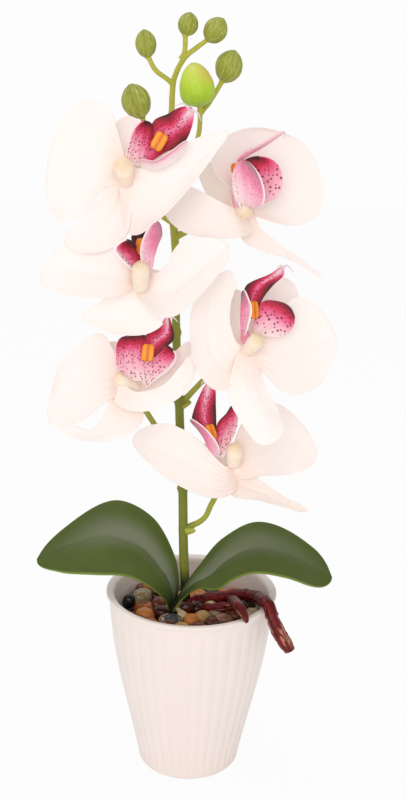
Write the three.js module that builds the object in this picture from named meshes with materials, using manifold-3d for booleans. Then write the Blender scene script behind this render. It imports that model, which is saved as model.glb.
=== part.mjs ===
// Potted moth orchid in a small ribbed pot: one stem with six upside-down blooms, six buds, two broad
// leaves, a bed of pebbles and an aerial root that hooks over the rim.
// Units are millimetres, +Z is up, the pot's underside is at z = 0 and its axis is the Z axis.
// The front of the plant, where the blooms face, is -Y.

import * as THREE from 'three';
import { mergeVertices } from 'three/addons/utils/BufferGeometryUtils.js';
import Module from 'manifold-3d';

const wasm = await Module();
wasm.setup();

// ---------------------------------------------------------------- driving dimensions

const POT = {
  height: 103,
  baseRadius: 28.4,
  rimRadius: 47.5,
  underRimRadius: 45.9,
  bandHeight: 3,
  belly: 0.13,
  wall: 3,
  floor: 4,
  flutes: 38,
  fluteDepth: 0.55,
  cornerRadius: 1.6,
  rimEdge: 1,
  rimStep: 1.4,
  fluteRows: [5, 36, 66, 97],
};
const FILL = { top: 84.5, gap: 0.35, sides: 26 };
const PEBBLES = { count: 34, spread: 36, radius: 5.6, flatness: 0.72, unevenness: 1.6, seed: 7 };
const TOUCH_GAP = 0.4;
const FACET_TOLERANCE = 0.12;
const PETAL_THICKNESS = 0.7;
const LIP_THICKNESS = 0.8;
const LEAF_EDGE = 1.0;
const LEAF_MIDDLE = 2.2;
const STEM_SIDES = 7;

const COLOURS = {
  pot: { color: 0xf3e4da, roughness: 0.42 },
  pebbles: { color: 0x6e4a35, roughness: 0.35 },
  stem: { color: 0x6f7f2e, roughness: 0.6 },
  leaf: { color: 0x2f5130, roughness: 0.42 },
  root: { color: 0x5a1f1c, roughness: 0.55 },
  bud: { color: 0x7a8a3c, roughness: 0.6 },
  freshBud: { color: 0x8fbf2c, roughness: 0.4 },
  petal: { color: 0xfdf1ea, roughness: 0.75 },
  lip: { color: 0xcf2a63, roughness: 0.7 },
  column: { color: 0xf3e2b4, roughness: 0.6 },
  callus: { color: 0xf7a325, roughness: 0.6 },
};

// ---------------------------------------------------------------- small vector helpers

const vec = ([x, y, z]) => new THREE.Vector3(x, y, z);
const lerp = (a, b, k) => a + (b - a) * k;

// A repeatable number in 0..1 for a whole number.
function chance(n) {
  const x = Math.sin(n * 12.9898 + PEBBLES.seed) * 43758.5453;
  return x - Math.floor(x);
}

// ---------------------------------------------------------------- solids

// A closed mesh as a solid that can be joined and cut.
function solid(geometry) {
  geometry.deleteAttribute('normal');
  geometry.deleteAttribute('uv');
  const merged = mergeVertices(geometry, 1e-4);
  const mesh = new wasm.Mesh({
    numProp: 3,
    vertProperties: new Float32Array(merged.attributes.position.array),
    triVerts: new Uint32Array(merged.index.array),
  });
  return new wasm.Manifold(mesh);
}

function join(solids) {
  return solids.reduce((whole, next) => whole.add(next));
}

// The largest body of a solid: crumbs left by a cut are dropped.
function largest(body) {
  const bodies = body.decompose();
  return bodies.reduce((best, next) => (next.volume() > best.volume() ? next : best));
}

function geometryOf(body) {
  const mesh = body.getMesh();
  const geometry = new THREE.BufferGeometry();
  geometry.setAttribute('position', new THREE.BufferAttribute(new Float32Array(mesh.vertProperties), 3));
  geometry.setIndex(new THREE.BufferAttribute(new Uint32Array(mesh.triVerts), 1));
  geometry.computeVertexNormals();
  return geometry;
}

// A closed skin over rings of equal length. Each end is closed by a fan to the middle of its ring.
function skin(rings) {
  const sides = rings[0].length;
  const points = rings.flat();
  const index = [];
  for (let i = 0; i + 1 < rings.length; i += 1) {
    for (let j = 0; j < sides; j += 1) {
      const a = i * sides + j;
      const b = i * sides + ((j + 1) % sides);
      index.push(a, b, b + sides, a, b + sides, a + sides);
    }
  }
  const last = (rings.length - 1) * sides;
  const start = points.push(middle(rings[0])) - 1;
  const end = points.push(middle(rings.at(-1))) - 1;
  for (let j = 0; j < sides; j += 1) {
    index.push(start, (j + 1) % sides, j);
    index.push(end, last + j, last + ((j + 1) % sides));
  }
  const geometry = new THREE.BufferGeometry().setFromPoints(points);
  geometry.setIndex(index);
  return geometry;
}

function middle(ring) {
  const sum = new THREE.Vector3();
  ring.forEach((point) => sum.add(point));
  return sum.divideScalar(ring.length);
}

// A round, tapered tube through points, with one radius for each point.
function tube(points, radii, sides, steps) {
  const curve = new THREE.CatmullRomCurve3(points.map(vec), false, 'centripetal');
  const frames = curve.computeFrenetFrames(steps, false);
  const rings = [];
  for (let i = 0; i <= steps; i += 1) {
    const centre = curve.getPointAt(i / steps);
    const place = curve.getUtoTmapping(i / steps) * (radii.length - 1);
    const before = Math.min(Math.floor(place), radii.length - 2);
    const radius = lerp(radii[before], radii[before + 1], place - before);
    rings.push(circle(centre, frames.normals[i], frames.binormals[i], radius, sides));
  }
  return skin(rings);
}

function circle(centre, across, up, radius, sides) {
  return Array.from({ length: sides }, (_, j) => {
    const angle = (2 * Math.PI * j) / sides;
    return centre.clone()
      .addScaledVector(across, radius * Math.cos(angle))
      .addScaledVector(up, radius * Math.sin(angle));
  });
}

// A round body on a straight axis: profile rows are [share of the length, radius].
function spindle(base, tip, profile, sides) {
  const axis = tip.clone().sub(base);
  const side = new THREE.Vector3(0.31, 0.17, 0.93).cross(axis).normalize();
  const other = axis.clone().normalize().cross(side);
  const rings = profile.map(([share, radius]) => {
    const centre = base.clone().addScaledVector(axis, share);
    return circle(centre, side, other, radius, sides);
  });
  return skin(rings);
}

function ellipsoid(centre, radii, columns, rows) {
  const geometry = new THREE.SphereGeometry(1, columns, rows);
  geometry.scale(...radii);
  geometry.translate(...centre);
  return geometry;
}

// ---------------------------------------------------------------- blades: petals, lips and leaves

// How far the edges swing apart as they leave the claw, and how much closer the rows lie near the tip.
const CLAW_FLARE = 0.35;
const ROW_CROWDING = 1.35;

// Smooth curve through points with a given direction at each. Fullness sets how round it bulges.
function smoothEdge(points, directions, fullness, u) {
  const spans = points.length - 1;
  const span = Math.min(Math.floor(u * spans), spans - 1);
  const t = u * spans - span;
  const [p, q] = [points[span], points[span + 1]];
  const pull = p.distanceTo(q) * fullness;
  return p.clone().multiplyScalar(2 * t ** 3 - 3 * t ** 2 + 1)
    .addScaledVector(directions[span], (t ** 3 - 2 * t ** 2 + t) * pull)
    .addScaledVector(q, 3 * t ** 2 - 2 * t ** 3)
    .addScaledVector(directions[span + 1], (t ** 3 - t ** 2) * pull);
}

// One edge of a blade, from its claw past its bulges to its tip.
function edgeOf(start, bulges, tip, otherBulges) {
  const points = [start, ...bulges, tip];
  const across = bulges[0].clone().sub(otherBulges[0]).normalize();
  const first = bulges[0].clone().sub(start).normalize().addScaledVector(across, CLAW_FLARE).normalize();
  const directions = points.map((point, k) => {
    if (k === 0) return first;
    if (k === points.length - 1) return otherBulges.at(-1).clone().sub(bulges.at(-1)).normalize();
    return points[k + 1].clone().sub(k === 1 ? start : points[k - 1]).normalize();
  });
  return { points, directions };
}

// The middle surface of a blade as rows of points from the claw to the tip, and its facing direction.
function bladeSheet(shape, rows, columns) {
  const { base = [0, 0, 0], left, tip, right, cup = 0, full = 1.1, claw = 8, margin = 0 } = shape;
  const lefts = left.map(vec);
  const rights = right.map(vec);
  const along = vec(tip).sub(vec(base)).normalize();
  const root = vec(base).addScaledVector(along, -margin);
  const end = vec(tip).addScaledVector(along, margin);
  const across = rights[0].clone().sub(lefts[0]).normalize();
  const facing = end.clone().sub(root).cross(across).normalize();
  if (facing.z < 0) facing.negate();
  const leftEdge = edgeOf(root.clone().addScaledVector(across, -claw / 2), lefts, end, rights);
  const rightEdge = edgeOf(root.clone().addScaledVector(across, claw / 2), rights, end, lefts);
  const sheet = [];
  for (let i = 0; i < rows; i += 1) {
    const u = 1 - (1 - i / rows) ** ROW_CROWDING;
    const from = smoothEdge(leftEdge.points, leftEdge.directions, full, u);
    const to = smoothEdge(rightEdge.points, rightEdge.directions, full, u);
    const halfWidth = from.distanceTo(to) / 2;
    const outward = to.clone().sub(from).normalize().multiplyScalar(margin);
    from.sub(outward);
    to.add(outward);
    const row = [];
    for (let j = 0; j <= columns; j += 1) {
      const t = (2 * j) / columns - 1;
      row.push(from.clone().lerp(to, (t + 1) / 2).addScaledVector(facing, -cup * halfWidth * (1 - t * t)));
    }
    sheet.push(row);
  }
  return { sheet, end, facing };
}

// Surface direction at each point of a sheet, from its neighbours.
function sheetNormals({ sheet, end, facing }) {
  return sheet.map((row, i) => row.map((point, j) => {
    const ahead = i + 1 < sheet.length ? sheet[i + 1][j] : end;
    const along = ahead.clone().sub(i > 0 ? sheet[i - 1][j] : point);
    const side = row[Math.min(j + 1, row.length - 1)].clone().sub(row[Math.max(j - 1, 0)]);
    const normal = along.cross(side).normalize();
    return normal.dot(facing) < 0 ? normal.negate() : normal;
  }));
}

// A closed blade: the sheet thickened to both sides, split into triangles alike on both faces.
function blade(shape, rows, columns, thickness) {
  const surface = bladeSheet(shape, rows, columns);
  const normals = sheetNormals(surface);
  const width = columns + 1;
  const face = (side) => surface.sheet.flatMap((row, i) => row.map((point, j) => {
    const t = (2 * j) / columns - 1;
    return point.clone().addScaledVector(normals[i][j], (side * thickness(t)) / 2);
  }));
  const points = [...face(1), ...face(-1)];
  const back = rows * width;
  const frontTip = points.push(surface.end.clone().addScaledVector(surface.facing, thickness(1) / 2)) - 1;
  const backTip = points.push(surface.end.clone().addScaledVector(surface.facing, -thickness(1) / 2)) - 1;
  const index = [];
  const both = (a, b, c) => index.push(a, b, c, back + a, back + c, back + b);
  for (let i = 0; i + 1 < rows; i += 1) {
    for (let j = 0; j < columns; j += 1) {
      const a = i * width + j;
      both(a, a + 1, a + width + 1);
      both(a, a + width + 1, a + width);
    }
  }
  const last = (rows - 1) * width;
  for (let j = 0; j < columns; j += 1) {
    index.push(last + j, last + j + 1, frontTip, back + last + j, backTip, back + last + j + 1);
  }
  // The rim runs once round the outline: claw, one edge, the tip and the other edge back.
  const rim = [];
  for (let j = columns; j >= 0; j -= 1) rim.push([j, back + j]);
  for (let i = 1; i < rows; i += 1) rim.push([i * width, back + i * width]);
  rim.push([frontTip, backTip]);
  for (let i = rows - 1; i > 0; i -= 1) rim.push([i * width + columns, back + i * width + columns]);
  rim.forEach(([front, behind], k) => {
    const [nextFront, nextBehind] = rim[(k + 1) % rim.length];
    index.push(front, nextFront, nextBehind, front, nextBehind, behind);
  });
  const geometry = new THREE.BufferGeometry().setFromPoints(points);
  geometry.setIndex(index);
  return outward(solid(geometry), geometry);
}

// A solid whose faces point out, whichever way its sheet was laid.
function outward(body, geometry) {
  if (body.volume() > 0) return body;
  const flipped = geometry.clone();
  const index = Array.from(geometry.index.array);
  for (let i = 0; i < index.length; i += 3) [index[i + 1], index[i + 2]] = [index[i + 2], index[i + 1]];
  flipped.setIndex(index);
  return solid(flipped);
}

const even = (thickness) => () => thickness;

// ---------------------------------------------------------------- the pot

// Outer radius of the pot's wall at a height: a taper with a soft belly.
function potRadius(z) {
  const u = z / (POT.height - POT.bandHeight);
  return lerp(POT.baseRadius, POT.underRimRadius, u + POT.belly * Math.sin(Math.PI * u ** 1.5));
}

function potRing(radius, z, depth = 0) {
  const count = POT.flutes * 2;
  return Array.from({ length: count }, (_, j) => {
    const angle = (2 * Math.PI * j) / count;
    const ribbed = radius - (j % 2 ? depth : 0);
    return new THREE.Vector3(ribbed * Math.cos(angle), ribbed * Math.sin(angle), z);
  });
}

function pot() {
  const { height, bandHeight, rimRadius, rimEdge, rimStep, wall, floor, cornerRadius } = POT;
  const wallTop = height - bandHeight;
  const rings = [
    potRing(POT.baseRadius - cornerRadius, 0),
    potRing(potRadius(cornerRadius), cornerRadius),
    ...POT.fluteRows.map((z) => potRing(potRadius(z), z, POT.fluteDepth)),
    potRing(potRadius(wallTop), wallTop),
    potRing(rimRadius, height - rimEdge),
    potRing(rimRadius - wall + rimEdge / 2, height),
    potRing(rimRadius - wall - rimStep, wallTop),
    potRing(POT.baseRadius - wall, floor),
  ];
  return solid(skin(rings));
}

// Inner radius of the pot at a height: one straight run from the floor to below the rim.
function potInnerRadius(z) {
  const wallTop = POT.height - POT.bandHeight;
  const low = POT.baseRadius - POT.wall;
  const high = POT.rimRadius - POT.wall - POT.rimStep;
  return lerp(low, high, (z - POT.floor) / (wallTop - POT.floor));
}

// ---------------------------------------------------------------- the pebble fill

// Pebbles lie on a sunflower spiral, so they cover the bed evenly, each turned and sized by chance.
function pebblePlaces() {
  const golden = Math.PI * (3 - Math.sqrt(5));
  return Array.from({ length: PEBBLES.count }, (_, k) => {
    const size = PEBBLES.radius * (0.8 + 0.4 * chance(k + 0.7));
    const stretch = 0.8 + 0.45 * chance(k + 0.1);
    const room = potInnerRadius(FILL.top) - FILL.gap - size * Math.max(stretch, 1);
    const reach = Math.min(PEBBLES.spread * Math.sqrt((k + 0.6) / PEBBLES.count), room);
    return {
      x: reach * Math.cos(k * golden),
      y: reach * Math.sin(k * golden),
      z: FILL.top + PEBBLES.unevenness * chance(k + 0.3),
      size,
      stretch,
      turn: Math.PI * chance(k + 0.9),
    };
  });
}

function pebble({ x, y, z, size, stretch, turn }) {
  const geometry = new THREE.SphereGeometry(1, 6, 4);
  geometry.rotateX(Math.PI / 2);
  geometry.scale(size * stretch, size, size * PEBBLES.flatness);
  geometry.rotateZ(turn);
  geometry.translate(x, y, z);
  return solid(geometry);
}

function fillCore() {
  const heights = [POT.floor + FILL.gap, FILL.top];
  const rings = heights.map((z) => circle(
    new THREE.Vector3(0, 0, z),
    new THREE.Vector3(1, 0, 0),
    new THREE.Vector3(0, 1, 0),
    potInnerRadius(z) - FILL.gap,
    FILL.sides,
  ));
  return solid(skin(rings));
}

function pebbleFill(holes) {
  const whole = join([fillCore(), ...pebblePlaces().map(pebble)]);
  return largest(holes.reduce((body, hole) => body.subtract(hole), whole));
}

// ---------------------------------------------------------------- the flower stem

const STEM_FOOT = 70;
const HOLE_DEPTH_BELOW_FOOT = 2;
const STEM = {
  points: [
    [-3, 2, STEM_FOOT], [-3, 2, 90], [-5, 2, 128], [-6, 3, 161], [-8, 3, 194], [-9, 4, 215], [-11, 5, 247],
    [-12, 6, 290], [-15, 6, 318], [-16, 6, 340], [-15, 4, 360], [-14, 2, 374], [-9, 0, 384], [-3, 0, 389],
    [1.2, 0, 391.4],
  ],
  radii: [2.7, 2.7, 2.6, 2.5, 2.4, 2.3, 2.2, 2.1, 2, 1.8, 1.5, 1.4, 1.3, 1.2, 1.1],
  steps: 22,
};
// Each stalk: its route from inside the stem to just behind what it carries.
const STALKS = {
  to_bloom_1: [[-13, 6, 304], [-21, 1, 309], [-29, -14, 320], [-36, -30, 329.4]],
  to_bloom_2: [[-12, 6, 297], [0, 4, 303], [13, 0, 310], [19.3, -10.6, 315]],
  to_bloom_3: [[-11, 5, 259], [-19, -6, 270], [-27.3, -32.7, 281.2]],
  to_bloom_4: [[-8, 4, 208], [4, -6, 224], [17, -18, 239], [25.7, -28.1, 247.6]],
  to_bloom_5: [[-7, 3, 178], [-20, -2, 196], [-29, -10, 212], [-37, -26.5, 225.3]],
  to_bloom_6: [[-5, 2, 137], [6, -1, 145], [10, -2, 154], [18, -3, 170], [22, -8, 176]],
};
const BUD_STALKS = {
  to_bud_1: [[-14.4, 2, 372], [-18, 0, 374.5], [-23, -0.5, 378], [-26.7, -1, 382.7]],
  to_bud_2: [[-11, 0.5, 383], [-9, 0, 387], [-8.7, 0, 393.5]],
  to_bud_5: [[-14, 6, 312], [-6, 3, 333], [-1, -3, 350], [-1, -8, 360.3]],
  to_bud_4: [[-1, -5, 354], [3, 0, 362], [6.4, 3, 368], [10, 4, 372.8]],
  to_bud_6: [[-16, 6, 325], [-22, 2, 340], [-27, -5, 350], [-28.5, -10, 353.9]],
};
const STALK_SIDES = 5;
const STALK_RADIUS = 1.5;
const BUD_STALK_RADIUS = 1.2;
const NODE_HEIGHTS = [161, 210, 247];
const NODE_RADII = [3.2, 3.2, 2.4];
const BRACT_PROFILE = [[0, 1.6], [0.5, 1.3], [1, 0.25]];
// Pointed bracts: where each grows from the stem or a stalk, and where its point is.
const BRACTS = [
  { from: [-4, 0, 136.5], to: [1.5, -1, 138] },
  { from: [-8, 3, 207], to: [-2.4, 3, 210] },
];

// A stalk runs at an even radius and stops just short of what it carries.
function stalk(points, radius) {
  const radii = points.map(() => radius);
  return solid(tube(points, radii, STALK_SIDES, points.length - 1));
}

function stemPoint(z) {
  const curve = new THREE.CatmullRomCurve3(STEM.points.map(vec), false, 'centripetal');
  return curve.getSpacedPoints(200).find((point) => point.z >= z);
}

function stemNode(z) {
  return solid(ellipsoid(stemPoint(z).toArray(), NODE_RADII, 6, 3));
}

function bract({ from, to }) {
  return solid(spindle(vec(from), vec(to), BRACT_PROFILE, 3));
}

function flowerStem() {
  const main = solid(tube(STEM.points, STEM.radii, STEM_SIDES, STEM.steps));
  return largest(join([
    main,
    ...Object.values(STALKS).map((route) => stalk(route, STALK_RADIUS)),
    ...Object.values(BUD_STALKS).map((route) => stalk(route, BUD_STALK_RADIUS)),
    ...NODE_HEIGHTS.map(stemNode),
    ...BRACTS.map(bract),
  ]));
}

// A plain hole round the foot of a stem or leaf stalk, a little wider and deeper than the foot.
function footHole(points, radius, sides, steps) {
  const [[x, y, z], ...rest] = points;
  const wider = points.map(() => radius + FILL.gap);
  return solid(tube([[x, y, z - HOLE_DEPTH_BELOW_FOOT], ...rest], wider, sides, steps));
}

// ---------------------------------------------------------------- buds

const BUD_SIDES = 9;
const BUD_PROFILE = [[0, 0.2], [0.07, 0.5], [0.3, 0.92], [0.55, 1], [0.8, 0.76], [0.94, 0.4], [1, 0.12]];
const BUDS = [
  { name: 'bud_1', base: [-26.9, -1.1, 383.6], tip: [-28.8, -2, 396.5], radius: 5, colour: 'bud' },
  { name: 'bud_2', base: [-8.6, 0, 394.2], tip: [-6.4, 0, 405], radius: 4.9, colour: 'bud' },
  { name: 'bud_3', base: [1.9, 0, 392], tip: [9.8, 0, 402.4], radius: 5.6, colour: 'bud' },
  { name: 'bud_4', base: [10.4, 4, 373.4], tip: [15.6, 4, 388.5], radius: 6.6, colour: 'bud' },
  { name: 'bud_5', base: [-1.1, -8.3, 361.2], tip: [-4.6, -9, 381.2], radius: 8.6, colour: 'freshBud' },
  { name: 'bud_6', base: [-29, -10.4, 355], tip: [-34.6, -12, 370.6], radius: 6.9, colour: 'bud' },
];

function bud({ base, tip, radius }) {
  const profile = BUD_PROFILE.map(([share, width]) => [share, width * radius]);
  return solid(spindle(vec(base), vec(tip), profile, BUD_SIDES));
}

// ---------------------------------------------------------------- leaves

const LEAVES = [
  {
    name: 'leaf_left',
    stalk: [[-11, -2, 76], [-11.5, -2.5, 88], [-14, -3.5, 96]],
    shape: {
      base: [-13, -3.5, 93],
      left: [[-11, 4, 123], [-42, 12, 150]],
      tip: [-85, -4, 119],
      right: [[-25, -14, 110], [-56, -18, 117]],
      cup: 0.1,
      full: 1.05,
      claw: 7,
    },
  },
  {
    name: 'leaf_right',
    stalk: [[-6, -9.5, 76], [-6, -10, 88], [-5, -10.5, 100]],
    shape: {
      base: [-5.5, -10.5, 97],
      left: [[8, -2, 121], [39, 8, 140]],
      tip: [77, -8, 113],
      right: [[16, -18, 113], [44, -24, 122]],
      cup: 0.1,
      full: 1.05,
      claw: 7,
    },
  },
];
const LEAF_STALK_RADIUS = 2.6;
const LEAF_STALK_SIDES = 8;
const LEAF_GRID = [11, 6];
const leafThickness = (t) => lerp(LEAF_MIDDLE, LEAF_EDGE, t * t);

function leaf({ shape, stalk: points }) {
  const foot = solid(tube(points, points.map(() => LEAF_STALK_RADIUS), LEAF_STALK_SIDES, 5));
  return largest(join([blade(shape, ...LEAF_GRID, leafThickness), foot]));
}

// ---------------------------------------------------------------- the aerial root

const ROOT = {
  points: [
    [2, 5, 88], [6, 10, 90], [13, 12.5, 92], [23, 10, 93.5], [32, 6, 95.5], [38, -3, 101], [40.5, -16, 107],
    [43, -25, 106.5], [46, -30, 98], [49, -31, 93], [51.5, -31, 86], [54, -31.5, 80.5],
  ],
  radii: [2.4, 3, 3.1, 3.2, 3.4, 3.3, 3.2, 3.3, 3.2, 3.2, 3, 1.8],
  steps: 20,
};
const ROOT_BRANCH = {
  points: [[25, 9, 93], [29, 0, 92.5], [30, -10, 92], [31, -21, 93]],
  radii: [2.6, 2.6, 2.3, 0.8],
};
// Swollen joints of the root: centre and radius.
const ROOT_KNOBS = [[31, 6.5, 95.3, 4], [23.5, 9.8, 93.6, 3.9], [45, -28.5, 101, 3.9], [50.5, -31, 87, 3.6]];

function rootTubes(extra) {
  const grow = (radii) => radii.map((radius) => radius + extra);
  return [
    solid(tube(ROOT.points, grow(ROOT.radii), 6, ROOT.steps)),
    solid(tube(ROOT_BRANCH.points, grow(ROOT_BRANCH.radii), 6, 5)),
    ...ROOT_KNOBS.map(([x, y, z, r]) => solid(ellipsoid([x, y, z], Array(3).fill(r + extra), 6, 4))),
  ];
}

// ---------------------------------------------------------------- blooms

// A blade's outline: its widest place on one side, its tip and its widest place on the other side.
const outline = (left, tip, right, form = {}) => ({ left: [left], tip, right: [right], ...form });

// A bloom is drawn in its own frame: x to the right, y up and z out to the front, in millimetres from
// its heart. at places the heart, turn swings its face to the side and nod lifts its face.
// cup sinks the middle of a blade below its edges, and full rounds its outline.
const BLOOMS = [
  {
    at: [-36, -38, 330], turn: 4, nod: 1,
    tepals: {
      petal_left: outline([-10, 30, -1], [-37, -1, -2], [-22, -25, 8], { cup: 0.24, full: 1.18 }),
      petal_right: outline([28, 14, 5], [47, 16, 13], [10, -29, 6], { cup: 0.14, full: 1 }),
      sepal_left: outline([-6, 22, -7], [2, 28, -9], [11, 20, -7]),
      sepal_right: outline([20, 13, -8], [35, 4, -8], [22, -10, -8]),
      sepal_low: outline([-18, -21, 3], [-26, -33, 4], [-4, -36, 6], { cup: 0.15 }),
    },
    lip: {
      wing_left: outline([0, 8, 10], [8, 22, 9], [14, 18, 2], { cup: 0.1 }),
      middle: outline([15, 24, 3], [29, 28, 12], [30, 17, 4], { cup: 0.25, full: 0.85 }),
      wing_right: outline([16, 11, 10], [29, 14, 14], [22, 10, 5], { cup: 0.2, full: 0.8 }),
    },
    lipBase: [7, 4, 3],
    column: { base: [0, -6, 2], tip: [-2, 3, 11] },
    callus: { at: [16, 14, 5], turn: -30 },
  },
  {
    at: [20, -18, 315], turn: -2, nod: 3,
    tepals: {
      petal_right: outline([1, 36, 2], [40, 13, -6], [22, -10, 4], { cup: 0.22, full: 1.15 }),
      petal_left: outline([-34, -2, 2], [-21, -16, 8], [0, -18, 8], { cup: 0.16, full: 0.9 }),
      sepal_top: outline([-14, 22, -6], [-5, 35, -8], [10, 26, -8]),
      sepal_low: outline([24, -20, -5], [43, -34, -4], [12, -24, -3], { cup: 0.1, full: 0.75 }),
      sepal_left: outline([-6, 28, -8], [-18, 24, -8], [-26, 2, -6]),
    },
    lip: {
      wing_far: outline([0, 21, 7], [16, 20, 6], [19, 6, 6], { cup: 0.12, full: 1.05 }),
      middle: outline([4, 25, 10], [16, 32, 16], [8, 25, -2], { cup: 0.1, full: 0.8 }),
      wing_near: outline([-4, 15, 14], [4, 18, 18], [12, 5, 17], { cup: -0.15, full: 1 }),
    },
    lipBase: [1, 1, 6],
    column: { base: [2, 0, 2], tip: [4, -5, 12] },
    callus: { at: [-3, 16, 7], turn: 8, yaw: 75 },
  },
  {
    at: [-28, -40, 282], turn: 4, nod: 7,
    tepals: {
      petal_left: outline([-24, 14, 2], [-47, -4, -1], [-26, -12, 9], { cup: 0.2, full: 1 }),
      petal_right: outline([24, 18, 2], [42, 13, 4], [22, -16, 10], { cup: 0.22, full: 0.98 }),
      sepal_low: outline([-26, -16, 0], [-14, -29, -3], [12, -24, 2]),
      sepal_left: outline([-16, 17, -8], [-8, 21, -10], [0, 15, -8]),
      sepal_right: outline([5, 18, -8], [15, 18, -10], [18, 7, -8]),
    },
    lip: {
      wing_left: outline([-7, 6, 14], [-10, 14, 16], [-1, 14, 4], { cup: 0.1 }),
      middle: outline([-3, 18, 0], [3, 25, -4], [7, 20, -1], { cup: 0.2 }),
      wing_right: outline([2, 12, 14], [9, 24, 14], [8, 12, 8], { cup: 0.15, full: 0.95 }),
    },
    lipBase: [1.5, 4, 6],
    column: { base: [1, -6, 2], tip: [0, 6, 14] },
    callus: { at: [-1.5, 12.5, 3], turn: 0, yaw: 55 },
  },
  {
    at: [26, -36, 249], turn: -3, nod: 11,
    tepals: {
      petal_left: outline([-19, 35, 2], [-29, 4, 4], [-12, -23, 12], { cup: 0.2, full: 1.05 }),
      petal_right: outline([29, 23, -2], [42, 0, -4], [20, -23, 7], { cup: 0.22, full: 1.12 }),
      sepal_right: outline([2, 27, -8], [16, 34, -9], [24, 23, -8]),
      sepal_low: outline([-10, -25, 7], [14, -47, 6], [18, -30, 5], { cup: 0.2, full: 0.95 }),
      sepal_left: outline([-18, 12, -8], [-20, 22, -10], [-8, 22, -8]),
    },
    lip: {
      wing_left: outline([-6, 16, 7], [-5, 26, 10], [0, 17, 14], { cup: 0.1 }),
      middle: outline([-6, 28, 3], [14, 35, 14], [3, 22, 4], { cup: 0.25, full: 0.7 }),
      wing_right: outline([5, 22, 3], [20, 16, 6], [13, 4, 10], { full: 1.05 }),
    },
    lipBase: [-1, 7, 6],
    column: { base: [0, -4, 2], tip: [4, 4, 13] },
    callus: { at: [0.5, 17, 7], turn: 8, yaw: 50 },
  },
  {
    at: [-37, -34, 227], turn: 5, nod: 14,
    tepals: {
      petal_left: outline([-20, 24, 0], [-37, -12, -2], [-17, -19, 7], { cup: 0.22, full: 1.12 }),
      petal_right: outline([14, 1, 8], [36, 12, 10], [24, -8, 12], { cup: -0.2, full: 1 }),
      sepal_low: outline([-18, -22, 3], [-10, -28, 3], [11, -18, 4]),
      sepal_left: outline([-16, 22, -8], [-4, 28, -9], [4, 20, -8]),
      sepal_right: outline([15, 13, -9], [30, 18, -9], [30, 7, -8]),
    },
    lip: {
      wing_left: outline([-2, 10, 8], [2, 24, 10], [12, 22, 3], { cup: 0.1 }),
      middle: outline([14, 26, 4], [23, 33, 12], [26, 22, 6], { cup: 0.2, full: 0.75 }),
      wing_right: outline([16, 15, 4], [27, 16, 10], [20, 2, 9], { cup: 0.1, full: 1 }),
    },
    lipBase: [10, 2, 4],
    column: { base: [2, -1, 3], tip: [-1, 5, 12] },
    callus: { at: [13, 16, 6], turn: -6 },
  },
  {
    at: [22, -16, 178], turn: -2, nod: 18,
    tepals: {
      petal_left: outline([-40, 22, 0], [-55, 10, 0], [-19, -14, 11], { cup: 0.2, full: 1 }),
      petal_right: outline([22, 35, -2], [42, 14, -2], [23, -2, 7], { cup: 0.22, full: 1 }),
      sepal_low: outline([14, 0, 3], [38, -18, 2], [12, -14, 4], { cup: 0.1, full: 0.75 }),
      sepal_left: outline([-30, 20, -6], [-22, 27, -8], [-11, 18, -6]),
      sepal_right: outline([4, 27, -8], [13, 36, -8], [20, 22, -6]),
    },
    lip: {
      wing_left: outline([-18, 14, 9], [-24, 24, 12], [-14, 20, 15], { cup: 0.1 }),
      middle: outline([-25, 26, 4], [-18, 43, 11], [-12, 30, 4], { cup: 0.25, full: 0.85 }),
      wing_right: outline([-12, 23, 4], [-2, 34, 9], [-1, 17, 10], { full: 0.9 }),
    },
    lipBase: [-9, 7, 7],
    column: { base: [-2, 1, 2], tip: [0, 13, 13] },
    callus: { at: [-13, 19, 8], turn: 18, yaw: 45 },
  },
];
const HEART = { centre: [0, 0, -3], radii: [5, 5, 4] };
const LIP_BEAD = 2.8;
// Rows and columns of facets and the width at the base. The sepals hidden behind the petals are coarsest.
const TEPAL_KINDS = {
  petal: { grid: [7, 4], claw: 10 },
  lowSepal: { grid: [5, 4], claw: 9 },
  backSepal: { grid: [4, 2], claw: 8 },
};
const LIP_GRID = [4, 4];
const LIP_CLAW = 4;
const COLUMN_PROFILE = [[0, 0.4], [0.2, 0.85], [0.5, 1], [0.8, 0.95], [0.95, 0.6], [1.02, 0.1]];
const COLUMN_RADIUS = 4.1;
const CALLUS = { width: 6, height: 8.5, depth: 3.4 };

function tepalKind(name) {
  if (name.startsWith('petal')) return TEPAL_KINDS.petal;
  return name === 'sepal_low' ? TEPAL_KINDS.lowSepal : TEPAL_KINDS.backSepal;
}

function tepalHead({ tepals }, extra) {
  const blades = Object.entries(tepals).map(([name, shape]) => {
    const { grid, claw } = tepalKind(name);
    return blade({ cup: 0.15, claw, margin: extra, ...shape }, ...grid, even(PETAL_THICKNESS + 2 * extra));
  });
  const radii = HEART.radii.map((radius) => radius + extra);
  return largest(join([solid(ellipsoid(HEART.centre, radii, 8, 5)), ...blades]));
}

function lipBody({ lip, lipBase }, extra) {
  const blades = Object.values(lip).map((lobe) => {
    const shape = { base: lipBase, cup: 0.12, claw: LIP_CLAW, margin: extra, ...lobe };
    return blade(shape, ...LIP_GRID, even(LIP_THICKNESS + 2 * extra));
  });
  const bead = ellipsoid(lipBase, Array(3).fill(LIP_BEAD + extra), 6, 4);
  return largest(join([solid(bead), ...blades]));
}

function columnBody({ column }, extra) {
  const profile = COLUMN_PROFILE.map(([share, width]) => [share, width * COLUMN_RADIUS + extra]);
  const base = vec(column.base);
  const tip = vec(column.tip);
  const along = tip.clone().sub(base).normalize();
  return solid(spindle(base.addScaledVector(along, -extra), tip.addScaledVector(along, extra), profile, 8));
}

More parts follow.
